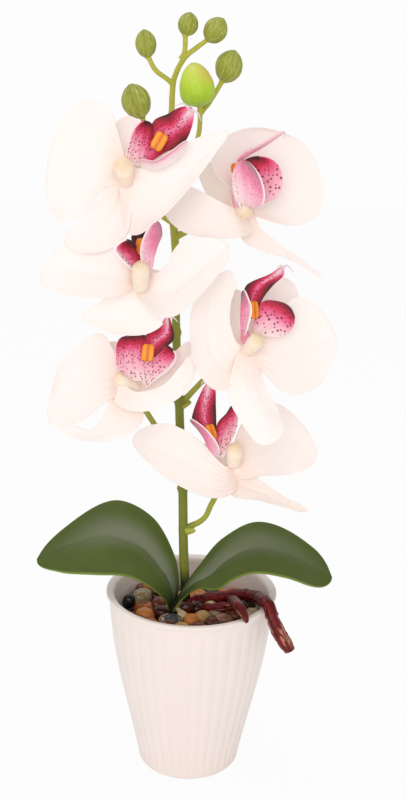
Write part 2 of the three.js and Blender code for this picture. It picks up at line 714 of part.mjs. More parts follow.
function callusBody({ callus }) {
  const geometry = new THREE.BoxGeometry(CALLUS.width, CALLUS.height, CALLUS.depth);
  geometry.rotateY(THREE.MathUtils.degToRad(callus.yaw ?? 0));
  geometry.rotateZ(THREE.MathUtils.degToRad(callus.turn));
  geometry.translate(...callus.at);
  return solid(geometry);
}

// The four bodies of one bloom. Each that lies on another is cut back to the touching gap.
function bloomBodies(bloom) {
  const nearTepals = tepalHead(bloom, TOUCH_GAP);
  const nearLip = lipBody(bloom, TOUCH_GAP);
  const lip = largest(lipBody(bloom, 0).subtract(nearTepals));
  const column = largest(columnBody(bloom, 0).subtract(nearTepals).subtract(nearLip));
  const nearColumn = columnBody(bloom, TOUCH_GAP);
  const callus = largest(callusBody(bloom).subtract(nearLip).subtract(nearTepals).subtract(nearColumn));
  return { tepals: tepalHead(bloom, 0), lip, column, callus };
}

const BLOOM_COLOURS = { tepals: 'petal', lip: 'lip', column: 'column', callus: 'callus' };

function bloomGroup(bloom, number) {
  const group = new THREE.Group();
  group.position.set(...bloom.at);
  const turn = THREE.MathUtils.degToRad(bloom.turn);
  const nod = THREE.MathUtils.degToRad(bloom.nod);
  const level = Math.cos(nod);
  const front = new THREE.Vector3(Math.sin(turn) * level, -Math.cos(turn) * level, Math.sin(nod));
  const right = new THREE.Vector3(0, 0, 1).cross(front).normalize();
  const up = front.clone().cross(right);
  group.setRotationFromMatrix(new THREE.Matrix4().makeBasis(right, up, front));
  Object.entries(bloomBodies(bloom)).forEach(([part, body]) => {
    group.add(named(`bloom_${number}_${part}`, body, BLOOM_COLOURS[part]));
  });
  return group;
}

// ---------------------------------------------------------------- assembly

function named(name, body, colour) {
  const material = new THREE.MeshStandardMaterial({ metalness: 0, ...COLOURS[colour] });
  const mesh = new THREE.Mesh(geometryOf(body.simplify(FACET_TOLERANCE)), material);
  mesh.name = name;
  return mesh;
}

const orchid = new THREE.Group();
orchid.add(named('pot', pot(), 'pot'));
const holes = [
  footHole(STEM.points.slice(0, 3), STEM.radii[0], STEM_SIDES, 6),
  ...LEAVES.map((row) => footHole(row.stalk, LEAF_STALK_RADIUS, LEAF_STALK_SIDES, 5)),
  ...rootTubes(FILL.gap),
];
orchid.add(named('pebble_fill', pebbleFill(holes), 'pebbles'));
orchid.add(named('flower_stem', flowerStem(), 'stem'));
LEAVES.forEach((row) => orchid.add(named(row.name, leaf(row), 'leaf')));
orchid.add(named('aerial_root', largest(join(rootTubes(0))), 'root'));
BUDS.forEach((row) => orchid.add(named(row.name, bud(row), row.colour)));
BLOOMS.forEach((bloom, k) => orchid.add(bloomGroup(bloom, k + 1)));

export default orchid;
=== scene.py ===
"""Potted moth orchid: the finished look of the part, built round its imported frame.

Each operator makes one piece or one group of like pieces, and main() calls them in order. Tables are in
millimetres; everything placed in the scene is in metres. The blooms face the front, which is -Y, and
the pot stands on z = 0.
"""

import math

import bpy
import numpy as np
from bpy.props import FloatProperty, FloatVectorProperty, IntProperty, PointerProperty
from mathutils import Matrix, Vector


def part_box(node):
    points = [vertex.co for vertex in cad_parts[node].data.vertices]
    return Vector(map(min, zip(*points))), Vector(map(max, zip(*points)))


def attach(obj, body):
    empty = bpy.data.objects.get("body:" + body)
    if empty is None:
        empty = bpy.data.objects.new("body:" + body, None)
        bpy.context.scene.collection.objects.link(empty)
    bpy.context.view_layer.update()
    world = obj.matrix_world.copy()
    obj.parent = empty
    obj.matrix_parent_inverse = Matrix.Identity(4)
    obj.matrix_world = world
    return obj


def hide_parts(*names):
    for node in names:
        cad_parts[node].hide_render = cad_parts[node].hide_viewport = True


bl_info = {
    "name": "Potted orchid",
    "version": (1, 0, 0),
    "blender": (4, 5, 0),
    "location": "View3D > Sidebar > Orchid",
    "description": "Builds a potted moth orchid round its packed frame",
    "category": "Add Mesh",
}

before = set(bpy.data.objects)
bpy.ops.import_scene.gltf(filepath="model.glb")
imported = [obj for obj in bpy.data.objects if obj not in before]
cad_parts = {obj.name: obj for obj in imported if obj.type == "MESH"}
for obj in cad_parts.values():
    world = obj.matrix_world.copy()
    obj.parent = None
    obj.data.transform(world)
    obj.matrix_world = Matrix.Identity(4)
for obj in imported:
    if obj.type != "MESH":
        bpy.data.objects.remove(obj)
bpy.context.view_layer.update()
POT_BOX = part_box("pot")
BODY = "root"
MM = 0.001


def screen(red, green, blue):
    """A colour given as 0 to 255 on screen, as linear values with full alpha."""
    def linear(value):
        share = value / 255
        return share / 12.92 if share <= 0.04045 else ((share + 0.055) / 1.055) ** 2.4

    return (linear(red), linear(green), linear(blue), 1.0)


# ---------------------------------------------------------------- sizes and colours


def length(name, description, default):
    return FloatProperty(name=name, description=description, default=default, min=0, unit="LENGTH")


def colour(name, description, red, green, blue):
    shade = screen(red, green, blue)
    return FloatVectorProperty(
        name=name, description=description, default=shade, size=4, min=0, max=1, subtype="COLOR")


class OrchidSizes(bpy.types.PropertyGroup):
    """Sizes that the pieces are made from."""

    pot_height: length("Pot height", "From the floor to the rim", POT_BOX[1].z)
    rim_radius: length("Rim radius", "Outer radius of the pot's rim", POT_BOX[1].x)
    flutes: IntProperty(name="Flutes", description="Upright ribs round the pot", default=38, min=3)
    flute_depth: length("Flute depth", "How deep the grooves between the ribs are", 0.0005)
    pebbles: IntProperty(name="Pebbles", description="Pebbles placed by chance", default=64, min=1)
    petal_thickness: length("Petal thickness", "Cloth thickness of petals and sepals", 0.00045)
    lip_thickness: length("Lip thickness", "Thickness of the printed lips", 0.0007)
    leaf_middle: length("Leaf thickness", "Leaf thickness along its midrib", 0.0022)
    leaf_edge: length("Leaf edge", "Leaf thickness at its edge", 0.0010)
    stalk_radius: length("Stalk radius", "Radius of the bloom stalks", 0.0015)
    whisker_radius: length("Whisker radius", "Radius of the tendrils at a lip's tip", 0.0006)


class OrchidColours(bpy.types.PropertyGroup):
    """Colours that the finishes start from."""

    pot: colour("Pot", "Pale glaze", 240, 226, 219)
    petal: colour("Petal", "White cloth of the petals", 247, 237, 231)
    blush: colour("Blush", "Pink breath at the foot of a petal", 246, 206, 206)
    spot: colour("Spots", "Dark spots on the lips", 138, 16, 52)
    column: colour("Column", "Cream club in the middle of a bloom", 244, 226, 206)
    callus: colour("Callus", "Orange block on the lip", 250, 160, 30)
    leaf: colour("Leaf", "Upper face of the leaves", 74, 88, 30)
    leaf_edge: colour("Leaf edge", "Light green edge of the leaves", 118, 138, 46)
    stem: colour("Stem", "Lower stem", 120, 126, 36)
    young_stem: colour("Young stem", "Top of the stem and bud stalks", 190, 188, 72)
    bud: colour("Bud", "Closed olive buds", 164, 168, 58)
    fresh_bud: colour("Fresh bud", "Large bright bud", 180, 212, 44)
    root: colour("Root", "Skin of the aerial root", 116, 22, 24)
    peel: colour("Peel", "Pale flesh where the root's skin is worn", 198, 142, 114)
    floor: colour("Floor", "Floor and backdrop", 250, 250, 250)


def sizes():
    return bpy.context.scene.orchid_sizes


def own(name):
    """One of the colours that a user can change."""
    return tuple(getattr(bpy.context.scene.orchid_colours, name))


# ---------------------------------------------------------------- curves and blades


def unit(vector):
    """The direction of a vector."""
    return vector / np.linalg.norm(vector)


def smooth_route(points, step=1.2):
    """Points along a smooth curve through the given points, and each one's place on the row of points.

    Centripetal spans keep the curve from swinging wide where the points lie close together.
    """
    points = np.array(points, float)
    ends = [2 * points[0] - points[1], *points, 2 * points[-1] - points[-2]]
    route, places = [], []
    for k in range(len(points) - 1):
        a, b, c, d = ends[k:k + 4]
        gaps = [max(np.linalg.norm(q - p) ** 0.5, 1e-6) for p, q in ((a, b), (b, c), (c, d))]
        count = max(2, int(np.linalg.norm(c - b) / step))
        leave = ((b - a) / gaps[0] - (c - a) / (gaps[0] + gaps[1]) + (c - b) / gaps[1]) * gaps[1]
        reach = ((c - b) / gaps[1] - (d - b) / (gaps[1] + gaps[2]) + (d - c) / gaps[2]) * gaps[1]
        for t in np.arange(count) / count:
            route.append(hermite(b, c, leave, reach, t))
            places.append(k + t)
    return np.array([*route, points[-1]]), np.array([*places, len(points) - 1])


def hermite(start, end, leave, reach, t):
    """A point on the cubic from start to end, at t from 0 to 1, with its slopes at both ends."""
    return (
        start * (2 * t**3 - 3 * t**2 + 1)
        + leave * (t**3 - 2 * t**2 + t)
        + end * (3 * t**2 - 2 * t**3)
        + reach * (t**3 - t**2)
    )


# How far an edge opens out from its claw, how round a tip is, how the rows crowd towards the tip and how
# full the curve between two points is.
CLAW_FLARE = 0.35
TIP_ROUND = 1.2
ROW_CROWDING = 1.35
FULLNESS = 1.1


def edge_curve(start, bulges, tip, others, full, shares):
    """One edge of a blade, from its claw past its bulges to its tip, at the given shares of the way."""
    points = [start, *bulges, tip]
    first = unit(unit(bulges[0] - start) + CLAW_FLARE * unit(bulges[0] - others[0]))
    last = unit(others[-1] - bulges[-1])
    between = [unit(points[k + 1] - points[k - 1]) for k in range(1, len(points) - 1)]
    directions = [first, *between, last]
    spans = len(points) - 1
    # A narrow end comes to a point, a broad one is rounded.
    tip_pull = TIP_ROUND * np.linalg.norm(others[-1] - bulges[-1])
    edge = []
    for share in shares:
        k = min(int(share * spans), spans - 1)
        pull = np.linalg.norm(points[k + 1] - points[k]) * full
        arrival = pull if k < spans - 1 else min(pull, tip_pull)
        t = share * spans - k
        edge.append(hermite(points[k], points[k + 1], directions[k] * pull, directions[k + 1] * arrival, t))
    return np.array(edge)


def blade_sheet(shape, rows, columns, relief):
    """Middle surface of a blade: a grid of points, its tip, its facing direction and its coordinates.

    The coordinates are t from -1 at the left edge to 1 at the right, and u from 0 at the claw to 1.
    """
    base = np.array(shape.get("base", (0, 0, 0)), float)
    lefts = [np.array(point, float) for point in shape["left"]]
    rights = [np.array(point, float) for point in shape["right"]]
    tip = np.array(shape["tip"], float)
    across = unit(rights[0] - lefts[0])
    facing = unit(np.cross(tip - base, across))
    facing = -facing if facing[2] < 0 else facing
    claw = across * shape["claw"] / 2
    full = shape.get("full", FULLNESS)
    u = 1 - (1 - np.arange(rows) / rows) ** ROW_CROWDING
    left = edge_curve(base - claw, lefts, tip, rights, full, u)
    right = edge_curve(base + claw, rights, tip, lefts, full, u)
    t = np.linspace(-1, 1, columns + 1)
    half = np.linalg.norm(right - left, axis=1) / 2
    grid = left[:, None] + (right - left)[:, None] * ((t + 1) / 2)[None, :, None]
    lift = -shape["cup"] * half[:, None] * (1 - t**2)[None, :]
    lift = lift + relief(u[:, None], t[None, :], half[:, None], shape)
    grid = grid + lift[..., None] * facing
    along = np.concatenate([[0], np.cumsum(np.linalg.norm(np.diff((left + right) / 2, axis=0), axis=1))])
    flat = np.stack(np.broadcast_arrays(half[:, None] * t[None, :], along[:, None]), -1)
    return {"grid": grid, "tip": tip, "facing": facing, "u": u, "t": t, "flat": flat}


def blade(shape, rows, columns, thickness, relief):
    """A closed blade: vertices, faces and, for each vertex, (t, u, side) and its place on the flat cloth."""
    sheet = blade_sheet(shape, rows, columns, relief)
    grid, facing = sheet["grid"], sheet["facing"]
    tip = sheet["tip"] + grid[-1, columns // 2] - (grid[-1, 0] + grid[-1, -1]) / 2
    ahead = np.concatenate([grid[1:], np.broadcast_to(tip, grid[:1].shape)])
    behind = np.concatenate([grid[:1], grid[:-1]])
    side = np.concatenate([grid[:, 1:], grid[:, -1:]], 1) - np.concatenate([grid[:, :1], grid[:, :-1]], 1)
    normal = np.cross(ahead - behind, side)
    normal /= np.linalg.norm(normal, axis=-1, keepdims=True)
    normal *= np.where(normal @ facing < 0, -1, 1)[..., None]
    # Rows crowd together at the tip, so the last ones face as the row before them does.
    crowd = max(2, rows // 12)
    normal[-crowd:] = normal[-crowd - 1]
    half_wall = thickness(sheet["u"][:, None], sheet["t"][None, :])[..., None] / 2
    width = columns + 1
    tip_wall = float(thickness(np.array(1.0), np.array(1.0))) / 2
    tip_lift = normal[-1, columns // 2] * tip_wall
    vertices = np.concatenate([
        (grid + normal * half_wall).reshape(-1, 3),
        (grid - normal * half_wall).reshape(-1, 3),
        [tip + tip_lift, tip - tip_lift],
    ])
    back, front_tip, back_tip = rows * width, 2 * rows * width, 2 * rows * width + 1
    last = (rows - 1) * width
    faces = []
    for i in range(rows - 1):
        for a in range(i * width, i * width + columns):
            faces.append((a, a + 1, a + width + 1, a + width))
            faces.append((back + a, back + a + width, back + a + width + 1, back + a + 1))
    for a in range(last, last + columns):
        faces.append((a, a + 1, front_tip))
        faces.append((back + a + 1, back + a, back_tip))
    rim = [*range(columns, -1, -1), *range(width, rows * width, width), front_tip]
    rim += range((rows - 1) * width + columns, columns, -width)
    for a, b in zip(rim, rim[1:] + rim[:1]):
        behind_a = back_tip if a == front_tip else back + a
        behind_b = back_tip if b == front_tip else back + b
        faces.append((a, b, behind_b, behind_a))
    if np.dot(np.cross(grid[0, 1] - grid[0, 0], grid[1, 0] - grid[0, 0]), facing) < 0:
        faces = [face[::-1] for face in faces]
    place = np.stack(np.broadcast_arrays(sheet["t"][None, :], sheet["u"][:, None]), -1).reshape(-1, 2)
    ones = np.ones((len(place), 1))
    tips = [[0, 1, 1], [0, 1, -1]]
    blade_place = np.concatenate([np.hstack([place, ones]), np.hstack([place, -ones]), tips])
    flat = sheet["flat"].reshape(-1, 2)
    end = [[0, flat[:, 1].max()]] * 2
    return vertices, faces, {"blade": blade_place, "flat": np.concatenate([flat, flat, end])}


def plain(u, t, half, shape):
    """The relief of a smooth blade."""
    return np.zeros(np.broadcast(u, t).shape)


def even(thickness):
    """The thickness of a blade that is equally thick all over."""
    return lambda u, t: np.full(np.broadcast(u, t).shape, thickness)


# ---------------------------------------------------------------- meshes


class Shell:
    """Collects the closed bodies of one piece, in millimetres, with their per-vertex values."""

    def __init__(self):
        self.vertices, self.faces, self.values = [], [], {}

    def add(self, vertices, faces, values=None, frame_matrix=None):
        """Takes in one closed body, moved into the plant by its bloom's frame where it has one."""
        start = sum(len(part) for part in self.vertices)
        vertices = np.asarray(vertices, float)
        if frame_matrix is not None:
            vertices = vertices @ frame_matrix[:3, :3].T + frame_matrix[:3, 3]
        self.vertices.append(vertices)
        self.faces += [tuple(start + k for k in face) for face in faces]
        for name, rows in (values or {}).items():
            rows = np.asarray(rows, float)
            self.values.setdefault(name, []).append((start, rows))

    def piece(self, name, material, sharp=50):
        """A Blender object of all the bodies, at its real place."""
        vertices = np.concatenate(self.vertices) * MM
        mesh = bpy.data.meshes.new(name)
        mesh.from_pydata(vertices.tolist(), [], self.faces)
        for key, parts in self.values.items():
            table = np.zeros((len(vertices), 3), np.float32)
            for start, rows in parts:
                rows = rows.reshape(len(rows), -1)
                table[start:start + len(rows), :rows.shape[1]] = rows
            mesh.attributes.new(key, "FLOAT_VECTOR", "POINT").data.foreach_set("vector", table.ravel())
        mesh.validate()
        mesh.shade_smooth()
        mesh.set_sharp_from_angle(angle=math.radians(sharp))
        mesh.materials.append(material)
        return linked(name, mesh)


def linked(name, mesh):
    """A mesh as an object in the scene."""
    piece = bpy.data.objects.new(name, mesh)
    bpy.context.scene.collection.objects.link(piece)
    return piece


def turned(rings):
    """A closed skin over rings of points, each end closed by a fan to its middle."""
    rings = np.asarray(rings, float)
    count, sides = rings.shape[:2]
    vertices = np.concatenate([rings.reshape(-1, 3), [rings[0].mean(0), rings[-1].mean(0)]])
    start, end = count * sides, count * sides + 1
    faces = []
    for j in range(sides):
        k = (j + 1) % sides
        for i in range(count - 1):
            faces.append((i * sides + j, i * sides + k, (i + 1) * sides + k, (i + 1) * sides + j))
        faces.append((start, k, j))
        faces.append((end, (count - 1) * sides + j, (count - 1) * sides + k))
    return vertices, faces


def club(base, tip, profile, sides, swell=None):
    """A round body on a straight axis. Profile rows are (share of the length, radius)."""
    base, tip = np.array(base, float), np.array(tip, float)
    axis = unit(tip - base)
    side = unit(np.cross((0.31, 0.17, 0.93), axis))
    other = np.cross(axis, side)
    angles = 2 * np.pi * np.arange(sides) / sides
    rings = []
    for share, radius in profile:
        girth = radius * (1 + (swell(share, angles) if swell else 0 * angles))
        centre = base + (tip - base) * share
        across, beyond = np.outer(girth * np.cos(angles), side), np.outer(girth * np.sin(angles), other)
        rings.append(centre + across + beyond)
    vertices, faces = turned(rings)
    around = np.stack([np.tile(np.cos(angles), len(profile)), np.tile(np.sin(angles), len(profile))], 1)
    shares = np.repeat([share for share, _ in profile], sides)
    place = np.vstack([np.column_stack([around, shares]), [[0, 0, profile[0][0]], [0, 0, profile[-1][0]]]])
    return vertices, faces, {"club": place}


THINNEST = 0.02


def eased_profile(rows, count):
    """A smooth profile of count rows through a few (share, radius) rows."""
    shares, radii = np.array(rows, float).T
    steps = 0.5 - 0.5 * np.cos(np.linspace(0, np.pi, count))
    wanted = shares[0] + (shares[-1] - shares[0]) * steps
    slopes = np.gradient(radii, shares)
    result = []
    for share in wanted:
        k = min(np.searchsorted(shares, share, "right") - 1, len(shares) - 2)
        gap = shares[k + 1] - shares[k]
        t = (share - shares[k]) / gap
        radius = hermite(radii[k], radii[k + 1], slopes[k] * gap, slopes[k + 1] * gap, t)
        result.append((share, max(radius, THINNEST)))
    return result


def bloom_frame(bloom):
    """A bloom's own frame in the plant: x right, y up and z out of its face, from its heart."""
    turn, nod = math.radians(bloom["turn"]), math.radians(bloom["nod"])
    front = np.array([math.sin(turn) * math.cos(nod), -math.cos(turn) * math.cos(nod), math.sin(nod)])
    right = unit(np.cross((0, 0, 1), front))
    matrix = np.eye(4)
    matrix[:3, :3] = np.column_stack([right, np.cross(front, right), front])
    matrix[:3, 3] = bloom["at"]
    return matrix


# ---------------------------------------------------------------- node trees


class Tree:
    """Shorthand for filling a node tree. Values are numbers, colours or other nodes' sockets."""

    def __init__(self, tree):
        self.tree = tree

    def node(self, kind, inputs=None, **settings):
        made = self.tree.nodes.new(kind)
        for name, value in settings.items():
            setattr(made, name, value)
        for key, value in (inputs or {}).items():
            self.feed(made.inputs[key], value)
        return made

    def first(self, kind, inputs=None, **settings):
        """The first output of a new node."""
        return self.node(kind, inputs, **settings).outputs[0]

    def feed(self, socket, value):
        """Links a socket to another one, or sets its plain value."""
        if isinstance(value, bpy.types.NodeSocket):
            self.tree.links.new(value, socket)
        else:
            socket.default_value = value

    def maths(self, operation, *values, clamp=False):
        return self.first("ShaderNodeMath", dict(enumerate(values)), operation=operation, use_clamp=clamp)

    def times(self, first, second):
        return self.maths("MULTIPLY", first, second)

    def line(self, value, slope, start):
        """The value times a slope, plus a start."""
        return self.maths("ADD", self.times(value, slope), start)

    def vector(self, operation, *values):
        made = self.node("ShaderNodeVectorMath", dict(enumerate(values)), operation=operation)
        return made.outputs["Vector"]

    def scaled(self, vector, scale):
        made = self.node("ShaderNodeVectorMath", {0: vector, "Scale": scale}, operation="SCALE")
        return made.outputs["Vector"]

    def split(self, vector):
        return self.node("ShaderNodeSeparateXYZ", {0: vector}).outputs

    def joined(self, x, y, z):
        return self.first("ShaderNodeCombineXYZ", {0: x, 1: y, 2: z})

    def mixed(self, share, first, second):
        made = self.node("ShaderNodeMix", {0: share, 6: first, 7: second}, data_type="RGBA")
        return made.outputs[2]

    def eased(self, value, low, high):
        """0 below low, 1 above high and a smooth step between; low may be above high."""
        return self.first("ShaderNodeMapRange", {0: value, 1: low, 2: high}, interpolation_type="SMOOTHSTEP")

    def bump(self, distance, height, strength=1.0, normal=None):
        """A normal that follows a height, over another normal where one is given."""
        inputs = {"Distance": distance, "Height": height, "Strength": strength}
        if normal is not None:
            inputs["Normal"] = normal
        return self.first("ShaderNodeBump", inputs)

    def ramp(self, value, stops, interpolation="LINEAR"):
        made = self.node("ShaderNodeValToRGB", {0: value})
        made.color_ramp.interpolation = interpolation
        elements = made.color_ramp.elements
        while len(elements) < len(stops):
            elements.new(0.5)
        for element, (place, shade) in zip(elements, stops):
            element.position = place
            element.color = shade
        return made.outputs[0]

    def noise(self, vector, scale, detail=2.0, roughness=0.5, distortion=0.0):
        inputs = {
            "Vector": vector, "Scale": scale, "Detail": detail, "Roughness": roughness,
            "Distortion": distortion}
        return self.node("ShaderNodeTexNoise", inputs).outputs["Fac"]

    def attribute(self, name):
        return self.node("ShaderNodeAttribute", attribute_name=name).outputs["Vector"]

    def place(self):
        """Where a point is on its piece, in metres."""
        return self.node("ShaderNodeTexCoord").outputs["Object"]


def group_tree(name, kind, inputs, outputs):
    """A node group with named sockets. Inputs are (name, type, default); outputs are (name, type)."""
    tree = bpy.data.node_groups.new(name, kind)
    for label, socket_type, *default in inputs:
        socket = tree.interface.new_socket(label, in_out="INPUT", socket_type=f"NodeSocket{socket_type}")
        if default:
            socket.default_value = default[0]
    for label, socket_type in outputs:
        tree.interface.new_socket(label, in_out="OUTPUT", socket_type=f"NodeSocket{socket_type}")
    given, out = tree.nodes.new("NodeGroupInput").outputs, tree.nodes.new("NodeGroupOutput").inputs
    return tree, Tree(tree), given, out


def placed_group(nodes, tree, **inputs):
    """A shared group placed in a material with its own values. Returns its first output."""
    made = nodes.tree.nodes.new("ShaderNodeGroup")
    made.node_tree = tree
    for key, value in inputs.items():
        nodes.feed(made.inputs[key.replace("_", " ").capitalize()], value)
    return made.outputs[0]


# ---------------------------------------------------------------- shared effects


def grain_group():
    """Fine surface grain as a normal: soft dents of one size over finer ones."""
    tree, nodes, given, out = group_tree(
        "surface grain", "ShaderNodeTree",
        [("Vector", "Vector"), ("Scale", "Float", 1000.0), ("Depth", "Float", 0.0001), ("Normal", "Vector")],
        [("Normal", "Vector")],
    )
    height = nodes.noise(given["Vector"], given["Scale"], detail=4.0, roughness=0.6)
    nodes.feed(out["Normal"], nodes.bump(given["Depth"], height, normal=given["Normal"]))
    return tree


def mottle_group():
    """A colour made lighter and darker in soft clouds."""
    tree, nodes, given, out = group_tree(
        "mottle", "ShaderNodeTree",
        [("Color", "Color"), ("Vector", "Vector"), ("Scale", "Float", 100.0), ("Amount", "Float", 0.1)],
        [("Color", "Color")],
    )
    cloud = nodes.noise(given["Vector"], given["Scale"], detail=3.0, roughness=0.55)
    swing = nodes.times(nodes.maths("SUBTRACT", cloud, 0.5), given["Amount"])
    value = nodes.maths("ADD", swing, 1.0)
    clouded = nodes.first("ShaderNodeHueSaturation", {"Value": value, "Color": given["Color"]})
    nodes.feed(out["Color"], clouded)
    return tree


def spots_group():
    """Round spots scattered over a surface, as a mask. Cover sets how many cells hold a spot."""
    tree, nodes, given, out = group_tree(
        "spots", "ShaderNodeTree",
        [("Vector", "Vector"), ("Spacing", "Float", 2.0), ("Size", "Float", 0.3), ("Cover", "Float", 0.5)],
        [("Mask", "Float")],
    )
    spread = nodes.maths("DIVIDE", 1.0, given["Spacing"])
    cells = nodes.node(
        "ShaderNodeTexVoronoi", {"Vector": given["Vector"], "Scale": spread, "Randomness": 0.85},
        voronoi_dimensions="2D",
    )
    draw = nodes.split(cells.outputs["Color"])
    kept = nodes.maths("LESS_THAN", draw[0], given["Cover"])
    reach = nodes.times(given["Size"], nodes.line(draw[1], 0.7, 0.6))
    inside = nodes.eased(nodes.maths("DIVIDE", cells.outputs["Distance"], reach), 1.15, 0.75)
    nodes.feed(out["Mask"], nodes.times(kept, inside))
    return tree


GROUPS = {}


def shared(name):
    """A shared group, made when it is first asked for."""
    makers = {"grain": grain_group, "mottle": mottle_group, "spots": spots_group}
    if name not in GROUPS:
        GROUPS[name] = makers[name]()
    return GROUPS[name]


# ---------------------------------------------------------------- finishes


class Finish(Tree):
    """A material being made. Sockets of its Principled shader are named with _ for each space."""

    def __init__(self, name, **plain_values):
        self.material = bpy.data.materials.new(name)
        self.material.use_nodes = True
        super().__init__(self.material.node_tree)
        self.fill(plain_values)

    def fill(self, sockets):
        shader = self.tree.nodes["Principled BSDF"].inputs
        for key, value in sockets.items():
            self.feed(shader[key.replace("_", " ")], value)

    def mottled(self, shade, scale, amount):
        """A colour in soft clouds over the piece."""
        values = {"color": shade, "vector": self.place(), "scale": scale, "amount": amount}
        return placed_group(self, shared("mottle"), **values)

    def grained(self, scale, depth, vector=None, normal=None):
        """Fine grain as a normal, over another normal where one is given."""
        values = {"vector": self.place() if vector is None else vector, "scale": scale, "depth": depth}
        if normal is not None:
            values["normal"] = normal
        return placed_group(self, shared("grain"), **values)

    def done(self, **patterns):
        """The material, with these patterns on its shader."""
        self.fill(patterns)
        return self.material


def grey(level):
    return (level, level, level, 1.0)


def pot_finish():
    """Satin glaze, a little rougher in upright streaks."""
    nodes = Finish("satin pot", Specular_IOR_Level=0.5, Coat_Weight=0.15, Coat_Roughness=0.25)
    streaks = nodes.noise(nodes.vector("MULTIPLY", nodes.place(), (600.0, 600.0, 60.0)), 1.0)
    return nodes.done(
        Base_Color=nodes.mottled(own("pot"), 45.0, 0.03),
        Roughness=nodes.line(streaks, 0.1, 0.3),
        Normal=nodes.grained(900.0, 0.00004))


PEBBLE_SHADES = [
    (24, 22, 25), (66, 26, 17), (108, 54, 34), (168, 86, 36), (204, 126, 56), (196, 152, 98),
    (148, 128, 98), (216, 192, 146), (62, 60, 60), (158, 106, 86),
]


def pebble_finish():
    """Glossy pebbles. The tint attribute picks the stone; cloudy bands and pale veins run through it."""
    nodes = Finish("pebbles", Specular_IOR_Level=0.25, Coat_Weight=0.28, Coat_Roughness=0.06)
    tint = nodes.split(nodes.attribute("tint"))
    stops = [(k / len(PEBBLE_SHADES), screen(*shade)) for k, shade in enumerate(PEBBLE_SHADES)]
    clouds = nodes.mottled(nodes.ramp(tint[0], stops, "CONSTANT"), 170.0, 1.1)
    lines = nodes.noise(nodes.place(), 120.0, detail=3.0, distortion=1.2)
    vein = nodes.eased(nodes.maths("ABSOLUTE", nodes.maths("SUBTRACT", lines, 0.5)), 0.014, 0.002)
    veined = nodes.times(vein, nodes.times(tint[1], 0.75))
    return nodes.done(
        Base_Color=nodes.mixed(veined, clouds, screen(222, 212, 196)),
        Roughness=nodes.line(lines, 0.2, 0.12),
        Normal=nodes.grained(500.0, 0.00012))


def stem_finish():
    """Moulded stem with fine ribs: painted shade dark at the foot, olive low down,
    yellower high up and on its stalks.
    """
    nodes = Finish("stem", Specular_IOR_Level=0.4)
    height = nodes.split(nodes.place())[2]
    shade = nodes.mixed(nodes.eased(height, 0.20, 0.37), own("stem"), own("young_stem"))
    slender = nodes.eased(nodes.split(nodes.attribute("girth"))[0], 0.0019, 0.0015)
    shade = nodes.mixed(nodes.times(slender, 0.6), shade, own("young_stem"))
    # Painted shade: nearly black at the foot, low between the leaves and the rim.
    shade = nodes.mixed(nodes.eased(height, 0.116, 0.104), shade, screen(30, 34, 12))
    lengthwise = nodes.vector("MULTIPLY", nodes.attribute("around"), (3.0, 3.0, 0.25))
    ribs = nodes.noise(lengthwise, 2.2, detail=3.0)
    return nodes.done(
        Base_Color=nodes.mottled(shade, 260.0, 0.35),
        Roughness=nodes.line(ribs, 0.2, 0.4),
        Normal=nodes.grained(1500.0, 0.00008, normal=nodes.bump(0.0003, ribs)))


def leaf_finish():
    """Satin leaf: painted shade nearly black at the foot, a painted grey sheen beside the midrib,
    a light lower edge that is partly painted light.
    """
    nodes = Finish("leaf", Specular_IOR_Level=0.3, Coat_Roughness=0.38)
    across, along, side = nodes.split(nodes.attribute("blade"))
    green = nodes.mottled(own("leaf"), 38.0, 0.35)
    veins = nodes.noise(nodes.joined(nodes.times(across, 26.0), along, 0.0), 1.4)
    # A painted grey sheen beside the midrib, where the top light reflects; the same mask sets the coat's
    # gloss.
    from_rib = nodes.maths("ABSOLUTE", nodes.maths("ADD", across, 0.2))
    middle = nodes.times(nodes.eased(along, 0.04, 0.24), nodes.eased(along, 0.96, 0.6))
    bloom = nodes.times(nodes.eased(from_rib, 0.6, 0.05), middle)
    with_painted_sheen = nodes.mixed(nodes.times(bloom, nodes.line(veins, 0.3, 0.1)), green, screen(150, 146, 138))
    # Painted shade: nearly black towards the foot, between the leaves.
    foot = nodes.times(nodes.eased(along, 0.34, 0.06), 0.95)
    deep = nodes.mixed(foot, with_painted_sheen, screen(10, 18, 5))
    under = nodes.mixed(nodes.eased(side, 0.3, -0.3), deep, screen(84, 110, 62))
    # The light edge: partly the leaf's own edge colour, partly painted light, strongest on the lower edge's
    # lit rim.
    lower = nodes.times(nodes.eased(across, 0.94, 0.985), 0.85)
    upper = nodes.times(nodes.eased(across, -0.96, -1.0), 0.25)
    return nodes.done(
        Base_Color=nodes.mixed(nodes.maths("MAXIMUM", lower, upper), under, own("leaf_edge")),
        Coat_Weight=nodes.times(bloom, 0.22),
        Roughness=nodes.line(veins, 0.1, 0.42),
        Normal=nodes.grained(1300.0, 0.00006, normal=nodes.bump(0.0001, veins, 0.5)))


